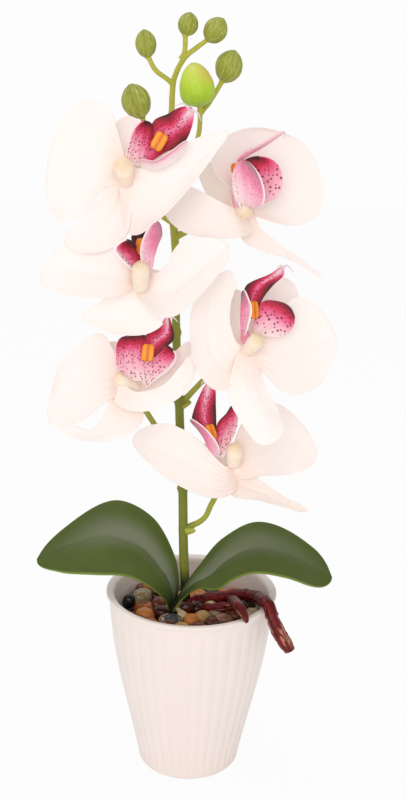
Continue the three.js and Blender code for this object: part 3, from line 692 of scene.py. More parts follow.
def petal_finish():
    """White printed cloth: faint cream clouds, pink breath and streaks at the foot, a warm foot tint
    that is partly painted shade, tan painted shadow where a tepal lies in shade, fine veins and weave.

    A little emission stands for the light that shines through the thin cloth.
    """
    nodes = Finish(
        "petal cloth", Roughness=0.62, Sheen_Weight=0.2, Sheen_Roughness=0.5, Specular_IOR_Level=0.3,
        Emission_Strength=0.05)
    across, along, _ = nodes.split(nodes.attribute("blade"))
    blush, shade, _ = nodes.split(nodes.attribute("blush"))
    white = nodes.mottled(own("petal"), 28.0, 0.05)
    rays = nodes.noise(nodes.joined(nodes.times(across, 9.0), along, 0.0), 1.3)
    foot = nodes.times(nodes.eased(along, 0.5, 0.02), blush)
    streak = nodes.maths("MULTIPLY", foot, nodes.eased(rays, 0.40, 0.68), clamp=True)
    tinted = nodes.mixed(streak, white, own("blush"))
    # A warm tint towards the foot: partly the cloth's own tone, partly painted shade near the heart.
    painted_foot_shade = nodes.times(nodes.eased(along, 0.4, 0.05), 0.5)
    warm = nodes.mixed(painted_foot_shade, tinted, screen(248, 222, 204))
    # Shade mixes in tan: a painted shadow on tepals that lie in shade.
    cloth = nodes.mixed(shade, warm, screen(232, 204, 184))
    weave = nodes.times(threads(nodes, 0), threads(nodes, 1))
    return nodes.done(
        Base_Color=cloth,
        Emission_Color=cloth,
        Normal=nodes.bump(0.00003, weave, normal=nodes.bump(0.0005, rays, 0.2)))


def threads(nodes, axis, pitch=0.42):
    """Rounded threads across one direction of the flat cloth, at a pitch in millimetres."""
    turns = nodes.times(nodes.split(nodes.attribute("flat"))[axis], 2 * math.pi / pitch)
    return nodes.line(nodes.maths("SINE", turns), 0.5, 0.5)


LIP_SHADES = [
    (0.0, screen(254, 236, 228)),
    (0.2, screen(250, 188, 204)),
    (0.4, screen(240, 104, 148)),
    (0.58, screen(212, 36, 78)),
    (0.74, screen(150, 18, 46)),
    (0.88, screen(84, 18, 26)),
    (1.0, screen(48, 18, 18)),
]
LIP_BACK_SHADES = [
    (0.0, screen(252, 238, 233)),
    (0.3, screen(250, 196, 208)),
    (0.55, screen(238, 130, 164)),
    (0.8, screen(172, 122, 134)),
    (1.0, screen(96, 46, 60)),
]


def lip_finish():
    """Printed lip: pale foot, hot pink and maroon towards the dark edges, spots, and a thin pale rim."""
    nodes = Finish(
        "printed lip", Roughness=0.55, Specular_IOR_Level=0.25, Subsurface_Weight=0.05,
        Subsurface_Scale=0.002)
    across, along, side = nodes.split(nodes.attribute("blade"))
    depth, spotted, printed = nodes.split(nodes.attribute("print"))
    flat = nodes.attribute("flat")
    rays = nodes.noise(nodes.joined(nodes.times(across, 9.0), along, depth), 1.6)
    swing = nodes.times(nodes.maths("SUBTRACT", rays, 0.5), 0.2)
    uneven = nodes.maths("ADD", depth, swing, clamp=True)
    spots = placed_group(nodes, shared("spots"), vector=flat, spacing=1.5, size=0.27, cover=spotted)
    front = nodes.mixed(nodes.times(spots, 0.9), nodes.ramp(uneven, LIP_SHADES), own("spot"))
    back_shade = nodes.ramp(uneven, LIP_BACK_SHADES)
    back = nodes.mixed(nodes.times(spots, 0.35), back_shade, screen(170, 60, 100))
    body = nodes.mixed(nodes.maths("GREATER_THAN", nodes.times(side, printed), 0.0), back, front)
    return nodes.done(
        Base_Color=nodes.mixed(nodes.maths("ABSOLUTE", printed), body, screen(254, 242, 242)),
        Normal=nodes.grained(2.5, 0.00008, vector=flat, normal=nodes.bump(0.0006, rays, 0.7)))


def whisker_finish():
    """Thin greyish tendrils of the lips, pink at the foot."""
    nodes = Finish("whiskers", Roughness=0.4, Subsurface_Weight=0.2, Subsurface_Scale=0.002)
    along = nodes.split(nodes.attribute("along"))[0]
    tint = nodes.mixed(nodes.eased(along, 0.003, 0.0), screen(222, 212, 206), screen(240, 190, 202))
    return nodes.done(Base_Color=nodes.mottled(tint, 700.0, 0.12))


def column_finish():
    """Cream club, a little yellower at its cap."""
    nodes = Finish(
        "column", Roughness=0.48, Subsurface_Weight=0.3, Subsurface_Scale=0.003, Specular_IOR_Level=0.4)
    share = nodes.split(nodes.attribute("club"))[2]
    shade = nodes.ramp(share, [
        (0.0, screen(242, 224, 208)), (0.45, own("column")), (0.82, screen(246, 230, 208)),
        (1.0, screen(242, 218, 186))])
    return nodes.done(Base_Color=nodes.mottled(shade, 260.0, 0.12), Normal=nodes.grained(700.0, 0.00012))


def callus_finish():
    """Orange moulded block, deeper orange in its groove and at the sides as painted shade."""
    nodes = Finish("callus", Roughness=0.42, Subsurface_Weight=0.15, Subsurface_Scale=0.002)
    ridge = nodes.split(nodes.attribute("ridge"))[0]
    # Painted shade: deeper orange where the ridge value is low, in the groove and at the sides.
    shade = nodes.mixed(nodes.eased(ridge, 0.2, 0.9), screen(226, 118, 12), own("callus"))
    return nodes.done(Base_Color=nodes.mottled(shade, 420.0, 0.22), Normal=nodes.grained(900.0, 0.0001))


def bud_finish():
    """Closed bud: olive, with painted highlights that make the ridges of its lengthwise wrinkles paler
    and painted shade in their hollows.
    """
    nodes = Finish("bud", Specular_IOR_Level=0.45)
    lengthwise = nodes.vector("MULTIPLY", nodes.attribute("club"), (2.4, 2.4, 0.7))
    wrinkles = nodes.noise(lengthwise, 3.4, detail=5.0, roughness=0.62, distortion=0.9)
    # Painted shade: deep olive in the hollows of the wrinkles.
    deep = nodes.mixed(nodes.eased(wrinkles, 0.34, 0.52), screen(132, 136, 40), own("bud"))
    # Painted highlight: pale on the ridges of the wrinkles.
    shade = nodes.mixed(nodes.eased(wrinkles, 0.54, 0.68), deep, screen(206, 208, 136))
    return nodes.done(
        Base_Color=nodes.mottled(shade, 210.0, 0.25),
        Roughness=nodes.line(wrinkles, 0.25, 0.32),
        Normal=nodes.bump(0.0012, wrinkles, 0.6))


def fresh_bud_finish():
    """Bright bud: lime low down, yellow-green at the point, with an orange shoulder and fine streaks."""
    nodes = Finish("fresh bud", Specular_IOR_Level=0.45, Subsurface_Weight=0.1, Subsurface_Scale=0.003)
    across, depth, share = nodes.split(nodes.attribute("club"))
    body = nodes.ramp(share, [
        (0.0, screen(150, 190, 30)), (0.45, own("fresh_bud")), (0.8, screen(202, 218, 84)),
        (1.0, screen(212, 208, 100))])
    right = nodes.eased(nodes.split(nodes.place())[0], -0.006, 0.005)
    shoulder = nodes.times(right, nodes.eased(share, 0.35, 0.75))
    warm = nodes.mixed(nodes.times(shoulder, 0.7), body, screen(222, 168, 88))
    lengthwise = nodes.joined(nodes.times(across, 3.0), nodes.times(depth, 3.0), share)
    streaks = nodes.noise(lengthwise, 2.4, detail=3.0)
    pale = nodes.times(nodes.eased(streaks, 0.52, 0.72), 0.35)
    return nodes.done(
        Base_Color=nodes.mixed(pale, warm, screen(206, 220, 118)),
        Roughness=nodes.line(streaks, 0.15, 0.3),
        Normal=nodes.bump(0.0005, streaks))


def root_finish():
    """Aerial root: burgundy skin with painted shade in its lengthwise creases, peeled off near its end
    in pale lengthwise patches with dark borders.
    """
    nodes = Finish("aerial root", Specular_IOR_Level=0.18, Coat_Weight=0.07, Coat_Roughness=0.12)
    wear = nodes.split(nodes.attribute("worn"))[0]
    along = nodes.split(nodes.attribute("along"))[0]
    x, y, _ = nodes.split(nodes.attribute("around"))
    lengthwise = nodes.joined(nodes.times(x, 1.2), nodes.times(y, 1.2), nodes.times(along, 36.0))
    streaks = nodes.noise(lengthwise, 1.8, distortion=0.8)
    # Painted shade: near black in the creases where the streaks sink.
    ridge = nodes.mixed(nodes.eased(streaks, 0.34, 0.48), screen(70, 12, 14), own("root"))
    skin = nodes.mottled(ridge, 330.0, 0.5)
    edge = nodes.maths("SUBTRACT", 0.74, nodes.times(wear, 0.22))
    above = nodes.maths("SUBTRACT", streaks, edge)
    flesh = nodes.mixed(nodes.noise(lengthwise, 6.0), own("peel"), screen(156, 84, 66))
    peeled = nodes.mixed(nodes.eased(above, 0.0, 0.02), skin, flesh)
    border = nodes.times(nodes.eased(nodes.maths("ABSOLUTE", above), 0.02, 0.004), 0.7)
    return nodes.done(
        Base_Color=nodes.mixed(border, peeled, screen(60, 10, 16)),
        Roughness=nodes.line(streaks, 0.3, 0.16),
        Normal=nodes.grained(900.0, 0.00012, normal=nodes.bump(0.0016, streaks)))


def floor_finish():
    """Plain white floor that melts into the backdrop and takes only a faint shadow."""
    nodes = Finish("studio floor", Roughness=0.9, Specular_IOR_Level=0.0, Emission_Strength=1.0)
    seen = nodes.node("ShaderNodeLightPath").outputs["Is Camera Ray"]
    return nodes.done(
        Base_Color=nodes.mixed(seen, nodes.mottled(own("floor"), 3.0, 0.01), grey(0.06)),
        Emission_Color=nodes.mixed(seen, grey(0.08), grey(0.93)))


# ---------------------------------------------------------------- geometry trees


def geometry_tree(name, *inputs):
    """A geometry node group with a geometry going in and out, the given named inputs and a material."""
    geometry = ("Geometry", "Geometry")
    return group_tree(name, "GeometryNodeTree", [geometry, *inputs, ("Material", "Material")], [geometry])


def stored(nodes, geometry, name, value, data_type="FLOAT"):
    """The geometry with a value kept on its points under a name."""
    made = nodes.node(
        "GeometryNodeStoreNamedAttribute", {"Geometry": geometry, "Name": name},
        data_type=data_type, domain="POINT")
    nodes.feed(made.inputs["Value"], value)
    return made.outputs[0]


def named_value(nodes, name, data_type="FLOAT"):
    return nodes.first("GeometryNodeInputNamedAttribute", {"Name": name}, data_type=data_type)


def finished(nodes, geometry, given, out):
    """The end of every tree: smooth faces, real geometry and one material."""
    smooth = nodes.first("GeometryNodeSetShadeSmooth", {"Geometry": geometry})
    real = nodes.first("GeometryNodeRealizeInstances", {"Geometry": smooth})
    coated = nodes.first("GeometryNodeSetMaterial", {"Geometry": real, "Material": given["Material"]})
    nodes.feed(out["Geometry"], coated)


def roughened(nodes, geometry, scale, depth):
    """Moves each point along its normal by soft noise."""
    swing = nodes.maths("SUBTRACT", nodes.noise(nodes.first("GeometryNodeInputPosition"), scale), 0.5)
    offset = nodes.scaled(nodes.first("GeometryNodeInputNormal"), nodes.times(swing, depth))
    return nodes.first("GeometryNodeSetPosition", {"Geometry": geometry, "Offset": offset})


def tube_tree():
    """Round tubes along the lines of a mesh, as thick as each point's girth, with a slightly uneven skin."""
    tree, nodes, given, out = geometry_tree(
        "tubes", ("Sides", "Int", 16), ("Step", "Float", 0.001), ("Unevenness", "Float", 0.0001),
        ("Grain", "Float", 400.0))
    lines = nodes.first("GeometryNodeMeshToCurve", {"Mesh": given["Geometry"]})
    steps = nodes.first(
        "GeometryNodeResampleCurve", {"Curve": lines, "Length": given["Step"]}, mode="LENGTH")
    travelled = nodes.node("GeometryNodeSplineParameter").outputs["Length"]
    path = stored(nodes, steps, "along", travelled)
    circle = nodes.first(
        "GeometryNodeCurvePrimitiveCircle", {"Resolution": given["Sides"], "Radius": 1.0})
    ring_place = nodes.first("GeometryNodeInputPosition")
    ring = stored(nodes, circle, "around", ring_place, "FLOAT_VECTOR")
    girth = named_value(nodes, "girth")
    skin = nodes.first("GeometryNodeCurveToMesh", {
        "Curve": path, "Profile Curve": ring, "Scale": girth, "Fill Caps": True})
    finished(nodes, roughened(nodes, skin, given["Grain"], given["Unevenness"]), given, out)
    return tree


def pot_tree():
    """The pot: its profile swept round a circle, with upright flutes pressed into the wall."""
    tree, nodes, given, out = geometry_tree(
        "fluted pot", ("Ring radius", "Float", 0.03), ("Flutes", "Int", 38),
        ("Flute depth", "Float", 0.0005), ("Flute foot", "Float", 0.002), ("Flute top", "Float", 0.095),
        ("Columns per flute", "Int", 8))
    columns = nodes.times(given["Flutes"], given["Columns per flute"])
    circle = nodes.first(
        "GeometryNodeCurvePrimitiveCircle", {"Resolution": columns, "Radius": given["Ring radius"]})
    profile = nodes.first("GeometryNodeMeshToCurve", {"Mesh": given["Geometry"]})
    marked = stored(nodes, profile, "fluted", named_value(nodes, "fluted"))
    wall = nodes.first("GeometryNodeCurveToMesh", {"Curve": circle, "Profile Curve": marked})
    welded = nodes.first("GeometryNodeMergeByDistance", {"Geometry": wall, "Distance": 0.00001})
    x, y, z = nodes.split(nodes.first("GeometryNodeInputPosition"))
    angle = nodes.times(nodes.maths("ARCTAN2", y, x), nodes.times(given["Flutes"], 0.5))
    crown = nodes.maths("POWER", nodes.maths("ABSOLUTE", nodes.maths("COSINE", angle)), 0.7)
    groove = nodes.maths("SUBTRACT", 1.0, crown)
    low = nodes.eased(z, given["Flute foot"], nodes.maths("ADD", given["Flute foot"], 0.003))
    high = nodes.eased(z, given["Flute top"], nodes.maths("SUBTRACT", given["Flute top"], 0.005))
    press = nodes.times(nodes.times(low, high), nodes.times(groove, given["Flute depth"]))
    press = nodes.times(press, named_value(nodes, "fluted"))
    outward = nodes.vector("NORMALIZE", nodes.joined(x, y, 0.0))
    offset = nodes.scaled(outward, nodes.times(press, -1.0))
    fluted = nodes.first("GeometryNodeSetPosition", {"Geometry": welded, "Offset": offset})
    finished(nodes, nodes.first("GeometryNodeFlipFaces", {"Mesh": fluted}), given, out)
    return tree


def pebble_tree():
    """Pebbles on the points of a mesh: each point holds its pebble's size, turn and tint."""
    tree, nodes, given, out = geometry_tree(
        "pebbles", ("Unevenness", "Float", 0.002), ("Grain", "Float", 90.0))
    ball = nodes.first("GeometryNodeMeshIcoSphere", {"Radius": 1.0, "Subdivisions": 4})
    turn = nodes.first("FunctionNodeEulerToRotation", {0: named_value(nodes, "turn", "FLOAT_VECTOR")})
    size = named_value(nodes, "size", "FLOAT_VECTOR")
    placed = nodes.first("GeometryNodeInstanceOnPoints", {
        "Points": given["Geometry"], "Instance": ball, "Rotation": turn, "Scale": size})
    real = nodes.first("GeometryNodeRealizeInstances", {"Geometry": placed})
    finished(nodes, roughened(nodes, real, given["Grain"], given["Unevenness"]), given, out)
    return tree


def shaped_by(tree, name, mesh, inputs, sharp=50):
    """A piece made by a geometry tree from a mesh, as a plain mesh at its real place."""
    source = linked(f"{name}_source", mesh)
    modifier = source.modifiers.new(tree.name, "NODES")
    modifier.node_group = tree
    sockets = tree.interface.items_tree
    identifiers = {item.name: item.identifier for item in sockets if item.in_out == "INPUT"}
    for label, value in inputs.items():
        modifier[identifiers[label]] = value
    bpy.context.view_layer.update()
    evaluated = source.evaluated_get(bpy.context.evaluated_depsgraph_get())
    made = bpy.data.meshes.new_from_object(evaluated)
    made.name = name
    source.modifiers.remove(modifier)
    bpy.data.objects.remove(source)
    made.set_sharp_from_angle(angle=math.radians(sharp))
    return linked(name, made)


def lines_mesh(name, routes):
    """A mesh of open lines. Each route is (points, {attribute: values}) in millimetres."""
    points, edges, values = [], [], {}
    for route, extras in routes:
        start = len(points)
        points += list(np.asarray(route) * MM)
        edges += [(start + k, start + k + 1) for k in range(len(route) - 1)]
        for key, rows in extras.items():
            values.setdefault(key, []).extend(rows)
    mesh = bpy.data.meshes.new(name)
    mesh.from_pydata([tuple(point) for point in points], edges, [])
    for key, rows in values.items():
        mesh.attributes.new(key, "FLOAT", "POINT").data.foreach_set("value", rows)
    return mesh


def settle(piece, node):
    """Every piece rides on the one body and stands for a CAD node."""
    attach(piece, BODY)
    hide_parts(node)


# ---------------------------------------------------------------- the pot

POT = {
    "base_radius": 28.4,
    "under_rim_radius": 45.9,
    "band": 3,
    "belly": 0.13,
    "wall": 3,
    "floor": 4,
    "corner": 1.6,
    "rim_step": 1.4,
    "foot_ring": 24,
    "foot_recess": 0.8,
    "bead": 0.9,
    "flute_gap": 1.2,
}
# The ledge under the rim, outwards and upwards from the top of the wall, and the rim's inner edge, inwards
# and downwards from its outer radius and its top.
LEDGE = [(0.25, -0.1), (0.55, 0.25)]
RIM_INSIDE = [(2.4, 0.1), (3.5, 0.5), (4.3, 1.3), (4.7, 2.6)]
WALL_ROWS = 40


def pot_radius(z):
    """Outer radius of the pot's wall at a height: a taper with a soft belly."""
    u = z / (sizes().pot_height / MM - POT["band"])
    share = u + POT["belly"] * math.sin(math.pi * u**1.5)
    return POT["base_radius"] + (POT["under_rim_radius"] - POT["base_radius"]) * share


def pot_inner_radius(z):
    """Radius of the pot's hollow at a height."""
    wall_top = sizes().pot_height / MM - POT["band"]
    low = POT["base_radius"] - POT["wall"]
    high = sizes().rim_radius / MM - POT["wall"] - POT["rim_step"]
    return low + (high - low) * (z - POT["floor"]) / (wall_top - POT["floor"])


def arc(centre, radius, start, end, count):
    """Profile points round a centre, from one angle in degrees to another."""
    angles = np.radians(np.linspace(start, end, count))
    return [(centre[0] + radius * math.cos(a), centre[1] + radius * math.sin(a)) for a in angles]


def pot_profile():
    """The pot's section, (radius, height) rows from under its middle, over the rim and down to its floor.

    Each row comes with 1 where it takes the flutes and 0 where it stays round.
    """
    height, rim = sizes().pot_height / MM, sizes().rim_radius / MM
    wall_top = height - POT["band"]
    corner = POT["corner"]
    under = [(0, POT["foot_recess"]), (POT["foot_ring"] - 1, POT["foot_recess"]), (POT["foot_ring"], 0)]
    foot = arc((pot_radius(corner) - corner, corner), corner, -90, 0, 5)
    wall = [(pot_radius(z), z) for z in np.linspace(corner + 0.8, wall_top - 0.5, WALL_ROWS)]
    ledge = [(pot_radius(wall_top) + outwards, wall_top + up) for outwards, up in LEDGE]
    bead = arc((rim - POT["bead"], height - POT["bead"]), POT["bead"], 0, 90, 6)
    inner = [(rim - inwards, height - drop) for inwards, drop in RIM_INSIDE]
    down = [(pot_inner_radius(z), z) for z in (wall_top - 2, 92, 84, 60, 30, POT["floor"] + 3)]
    bottom = [(pot_inner_radius(POT["floor"]) - 2.5, POT["floor"]), (0, POT["floor"])]
    rows = under + foot + wall + ledge + bead + inner + down + bottom
    # Only the wall and the last rows of the foot take the flutes.
    fluted = range(5, len(under) + len(foot) + len(wall))
    return rows, [1.0 if k in fluted else 0.0 for k in range(len(rows))]


def make_pot():
    """The pot with its ribs."""
    rows, fluted = pot_profile()
    ring = POT["base_radius"]
    # A swept profile's second axis points down.
    profile = [(radius - ring, -height, 0) for radius, height in rows]
    mesh = lines_mesh("pot_profile", [(profile, {"fluted": fluted})])
    piece = shaped_by(pot_tree(), "fluted_pot", mesh, {
        "Ring radius": ring * MM, "Flutes": sizes().flutes, "Flute depth": sizes().flute_depth,
        "Flute top": sizes().pot_height - (POT["band"] + POT["flute_gap"]) * MM, "Material": pot_finish(),
    }, sharp=40)
    settle(piece, "pot")


# ---------------------------------------------------------------- the pebbles

BED = {"top": 84.5, "rise": 2.4, "gap": 0.35, "reach": 37, "clear": 4.5, "tilt": 0.25}
# Radii of the pebbles placed by chance: the smallest, what chance adds, and how far it stretches them.
PEBBLE = {"radius": 3.6, "spread": 2.0, "stretch": 0.45}
# The fill takes a dark brown stone: it stands for deeper pebbles and paints shade into the gaps between
# them.
FILL = {"drop": 0.8, "sides": 64, "tint": (0.15, 0, 0)}
BLACK, DARK, BROWN, ORANGE, AMBER, TAN, BEIGE, CREAM, GREY, PINK = range(len(PEBBLE_SHADES))
# Pebbles that show between the leaves and the rim: centre, radii, turn in degrees, stone and veins.
FRONT_PEBBLES = [
    ((-36, 7, 90.6), (3.8, 3.8, 4.6), 20, BLACK, 0),
    ((-28.5, 12, 90.5), (6.8, 5, 5.6), 40, BEIGE, 0.6),
    ((-29, 5, 87), (4, 4, 3.4), 0, ORANGE, 0),
    ((-36, 21, 88.6), (4.4, 4, 4), 0, DARK, 0),
    ((-31, 23, 91.2), (4.8, 4, 3.8), 30, BROWN, 0.2),
    ((-25.5, 21, 91.4), (5, 4.2, 4), -20, ORANGE, 0.2),
    ((-20, 15, 90.4), (4.6, 4, 4), 10, DARK, 0),
    ((-25.5, -2, 87), (6, 5, 4), 10, AMBER, 0.3),
    ((-33, -4, 86), (4.6, 4, 3.4), 60, BROWN, 0),
    ((-16.3, -1, 88), (6, 4.6, 4.2), -10, DARK, 0),
    ((-19, 7, 88.5), (5, 4, 5), 70, BROWN, 0.3),
    ((-22, -11, 86), (5, 4, 3.4), 30, ORANGE, 0.2),
    ((-10.5, -11, 88), (6.6, 4.4, 4.4), 10, GREY, 1),
    ((-6, -4.5, 88.6), (4.6, 3.4, 3.6), -30, CREAM, 0),
    ((-2.6, -2, 92), (4.2, 3.4, 3.8), 20, DARK, 0),
    ((0.4, -8, 87), (5, 4.4, 4.2), 0, AMBER, 0),
    ((6.8, -5, 87.4), (5.4, 4.2, 4), 20, TAN, 0.3),
    ((4, 2, 89), (5, 3.6, 4.2), 60, DARK, 0),
    ((11.3, 3, 89.4), (4.4, 4, 4), 0, CREAM, 0.3),
    ((14.6, 0, 88.2), (5.4, 4.4, 4), 30, BEIGE, 0.5),
    ((18.5, -7, 87.4), (5.8, 4, 3.8), -15, PINK, 0.4),
    ((12, -9, 86.6), (4.4, 4, 3.4), 45, BROWN, 0),
    ((25, -3, 87.6), (5, 4.2, 4), 10, BROWN, 0.2),
    ((29, 6, 88), (5, 4, 4), 50, DARK, 0),
    ((31, 28, 88), (6, 5, 4.4), 20, ORANGE, 0.2),
    ((33.5, 12, 88.4), (4.6, 4.2, 4.2), 0, BLACK, 0.4),
    ((5, -15, 86), (5, 4.2, 3.4), 0, BROWN, 0.3),
    ((-5, -15, 86), (4.6, 4, 3.2), 40, TAN, 0.2),
]


def chance(n, seed=7):
    """A repeatable number from 0 to 1 for a whole number."""
    x = math.sin(n * 12.9898 + seed) * 43758.5453
    return x - math.floor(x)


def spiral_pebbles(count):
    """The rest of the bed: a sunflower spiral covers it evenly, each pebble turned and sized by chance."""
    golden = math.pi * (3 - math.sqrt(5))
    rows = []
    for k in range(count):
        size = PEBBLE["radius"] + PEBBLE["spread"] * chance(k + 0.7)
        stretch = 1 + PEBBLE["stretch"] * chance(k + 0.1)
        room = pot_inner_radius(BED["top"]) - BED["gap"] - size * stretch
        reach = min(BED["reach"] * math.sqrt((k + 0.6) / count), room)
        height = BED["top"] + BED["rise"] * chance(k + 0.3)
        centre = (reach * math.cos(k * golden), reach * math.sin(k * golden), height)
        radii = (size * stretch, size, size * (0.7 + 0.2 * chance(k + 0.4)))
        stone = int(chance(k + 0.5) * len(PEBBLE_SHADES))
        rows.append((centre, radii, 360 * chance(k + 0.9), stone, chance(k + 0.2) ** 2))
    return rows


def kept_inside(centre, radii, *rest):
    """A pebble's row, drawn towards the middle as far as it needs to clear the pot's wall."""
    room = pot_inner_radius(centre[2] - radii[2] / 2) - 2 * BED["gap"] - max(radii[:2])
    share = min(1, room / max(math.hypot(centre[0], centre[1]), 1))
    return ((centre[0] * share, centre[1] * share, centre[2]), radii, *rest)


def make_pebbles():
    """The pebbles one by one, with the plain fill below them."""
    front_rows = [kept_inside(*row) for row in FRONT_PEBBLES]
    fronts = [np.array(row[0][:2]) for row in front_rows]
    rest = [
        row for row in spiral_pebbles(sizes().pebbles)
        if min(np.linalg.norm(front - row[0][:2]) for front in fronts) > BED["clear"]
    ]
    rows = front_rows + rest
    mesh = bpy.data.meshes.new("pebble_places")
    mesh.from_pydata([tuple(np.array(row[0]) * MM) for row in rows], [], [])
    size = np.array([row[1] for row in rows], np.float32) * MM
    tilt = BED["tilt"]
    turn = np.array([
        (tilt * chance(k), tilt * chance(k + 0.6), math.radians(row[2])) for k, row in enumerate(rows)])
    tint = np.array([((row[3] + 0.5) / len(PEBBLE_SHADES), row[4], 0) for row in rows])
    for name, table in (("size", size), ("turn", turn), ("tint", tint)):
        values = table.astype(np.float32).ravel()
        mesh.attributes.new(name, "FLOAT_VECTOR", "POINT").data.foreach_set("vector", values)
    piece = shaped_by(pebble_tree(), "pebble_bed", mesh, {"Material": pebble_finish()})
    settle(piece, "pebble_fill")
    fill = Shell()
    heights = (POT["floor"] + BED["gap"], 30, 60, BED["top"] - FILL["drop"])
    profile = [(z / heights[-1], pot_inner_radius(z) - BED["gap"]) for z in heights]
    vertices, faces, _ = club((0, 0, 0), (0, 0, heights[-1]), profile, FILL["sides"])
    fill.add(vertices, faces, {"tint": np.tile(FILL["tint"], (len(vertices), 1))})
    settle(fill.piece("fill_below", pebble_finish()), "pebble_fill")


# ---------------------------------------------------------------- the flower stem

STEM = {
    "points": [
        (-3, 2, 70), (-3, 2, 90), (-5, 2, 128), (-6, 3, 161), (-8, 3, 194), (-9, 4, 215), (-11, 5, 247),
        (-12, 6, 290), (-15, 6, 318), (-16, 6, 340), (-15, 4, 360), (-14, 2, 374), (-9, 0, 384),
        (-3, 0, 389), (2, 0, 392.6),
    ],
    "radii": [2.7, 2.7, 2.6, 2.5, 2.4, 2.3, 2.2, 2.1, 2, 1.8, 1.5, 1.4, 1.3, 1.2, 1.1],
}
# Routes of the bloom stalks, from inside the stem to just behind each bloom.
STALKS = [
    [(-13, 6, 304), (-21, 1, 309), (-29, -14, 320), (-36, -30, 329.4)],
    [(-12, 6, 297), (0, 4, 303), (13, 0, 310), (19.3, -10.6, 315)],
    [(-11, 5, 259), (-19, -6, 270), (-27.3, -32.7, 281.2)],
    [(-8, 4, 208), (4, -6, 224), (17, -18, 239), (25.7, -28.1, 247.6)],
    [(-7, 3, 178), (-20, -2, 196), (-29, -10, 212), (-37, -26.5, 225.3)],
    [(-5, 2, 137), (6, -1, 145), (10, -2, 154), (18, -3, 170), (22, -8, 176)],
]
BUD_STALKS = [
    [(-14.4, 2, 372), (-18, 0, 374.5), (-23, -0.5, 378), (-26.8, -1, 384.4)],
    [(-10.6, 0.4, 383.4), (-9, 0, 387), (-8.7, 0, 394.9)],
    [(-14, 6, 312), (-6, 3, 333), (-1, -3, 350), (-1, -8.2, 362)],
    [(-1, -5, 358), (3.4, 1, 363), (7, 3.4, 369), (10, 4, 374.2)],
    [(-16, 6, 325), (-22, 2, 340), (-27, -5, 350), (-29, -10.2, 355.8)],
]
BUD_STALK_RADIUS = 1.2
NODE_HEIGHTS = [161, 210, 247]
NODE_SWELL = 0.8
NODE_REACH = 1.5
# Pointed bracts that hug the stem or a stalk: foot and point.
BRACTS = [
    ((-4, 0, 136.5), (1.5, -1, 138)),
    ((-8, 3, 207), (-2.4, 3, 210)),
]
BRACT = {"half_width": 1.7, "thickness": 0.5, "grid": (10, 8)}


def girth_at(places, radii):
    """The radius at each place on a row of points, from the radii at the points."""
    return np.interp(places, np.arange(len(radii)), radii)


def stem_routes():
    """The stem with its swollen nodes, and the stalks, wider at their feet and where they meet a bloom."""
    route, places = smooth_route(STEM["points"])
    girth = girth_at(places, STEM["radii"])
    for height in NODE_HEIGHTS:
        girth = girth + NODE_SWELL * np.exp(-((route[:, 2] - height) / NODE_REACH) ** 2)
    routes = [(route, {"girth": girth * MM})]
    stalk_radius = sizes().stalk_radius / MM
    for stalks, radius, flare in ((STALKS, stalk_radius, 1.4), (BUD_STALKS, BUD_STALK_RADIUS, 0.7)):
        for stalk in stalks:
            route, places = smooth_route(stalk)
            share = places / places[-1]
            foot = 0.5 * np.exp(-(share / 0.12) ** 2)
            end = flare * np.clip((share - 0.93) / 0.07, 0, 1) ** 2
            routes.append((route, {"girth": (radius + foot + end) * MM}))
    return routes


def bract_shape(foot, point):
    """A small pointed scale from its foot on the stem to its point."""
    foot, point = np.array(foot, float), np.array(point, float)
    side = unit(np.cross(point - foot, (0, -1, 0))) * BRACT["half_width"]
    middle = foot * 0.65 + point * 0.35
    left, right = [middle - side], [middle + side]
    return {"base": foot, "left": left, "tip": point, "right": right, "cup": 0.5, "claw": 3}


def make_stem():
    """The stem with its stalks in one piece, and the bracts."""
    material = stem_finish()
    mesh = lines_mesh("stem_lines", stem_routes())
    piece = shaped_by(tube_tree(), "stem_and_stalks", mesh, {
        "Sides": 18, "Unevenness": 0.0003, "Grain": 300.0, "Material": material})
    settle(piece, "flower_stem")
    scales = Shell()
    for foot, point in BRACTS:
        scales.add(*blade(bract_shape(foot, point), *BRACT["grid"], even(BRACT["thickness"]), plain))
    settle(scales.piece("bracts", material), "flower_stem")


# ---------------------------------------------------------------- leaves

LEAVES = [
    {
        "name": "leaf_left",
        "stalk": [(-11, -1, 76), (-11, -3, 86), (-11.2, -7, 93.5)],
        "shape": {
            "base": (-11.2, -8, 94),
            "left": [
                (-6.8, -5, 106), (-9.7, 0.5, 121.7), (-22.5, 8, 141.4), (-44, 12, 149.6), (-68, 6, 137.8),
            ],
            "tip": (-85.2, -4, 119.6),
            "right": [
                (-14.5, -9.5, 99.6), (-22.7, -13, 109), (-35, -16, 116.5), (-52, -18, 118),
                (-72, -14, 117.4),
            ],
            "cup": 0.1,
            "full": 0.9,
            "claw": 3,
        },
    },
    {
        "name": "leaf_right",
        "stalk": [(-7, -4, 76), (-8, -5, 86), (-10, -8, 93)],
        "shape": {
            "base": (-10.3, -8.8, 94.5),
            "left": [(-5.5, -8.5, 105), (3, -5, 117.5), (17, 0, 133), (39, 8, 140), (67, 1, 128)],
            "tip": (76.8, -8, 114.5),
            "right": [
                (-4.5, -11.8, 102.2), (4.1, -15.5, 110), (13.8, -20, 111.5), (22.5, -22.8, 119.3),
                (33, -24, 123.6), (50, -23.5, 121), (69.8, -15, 111.9),
            ],
            "cup": 0.1,
            "full": 1,
            "claw": 3,
        },
    },
]
LEAF_GRID = (64, 36)
LEAF_STALK_RADIUS = 2
LEAF_STALK_SIDES = 14


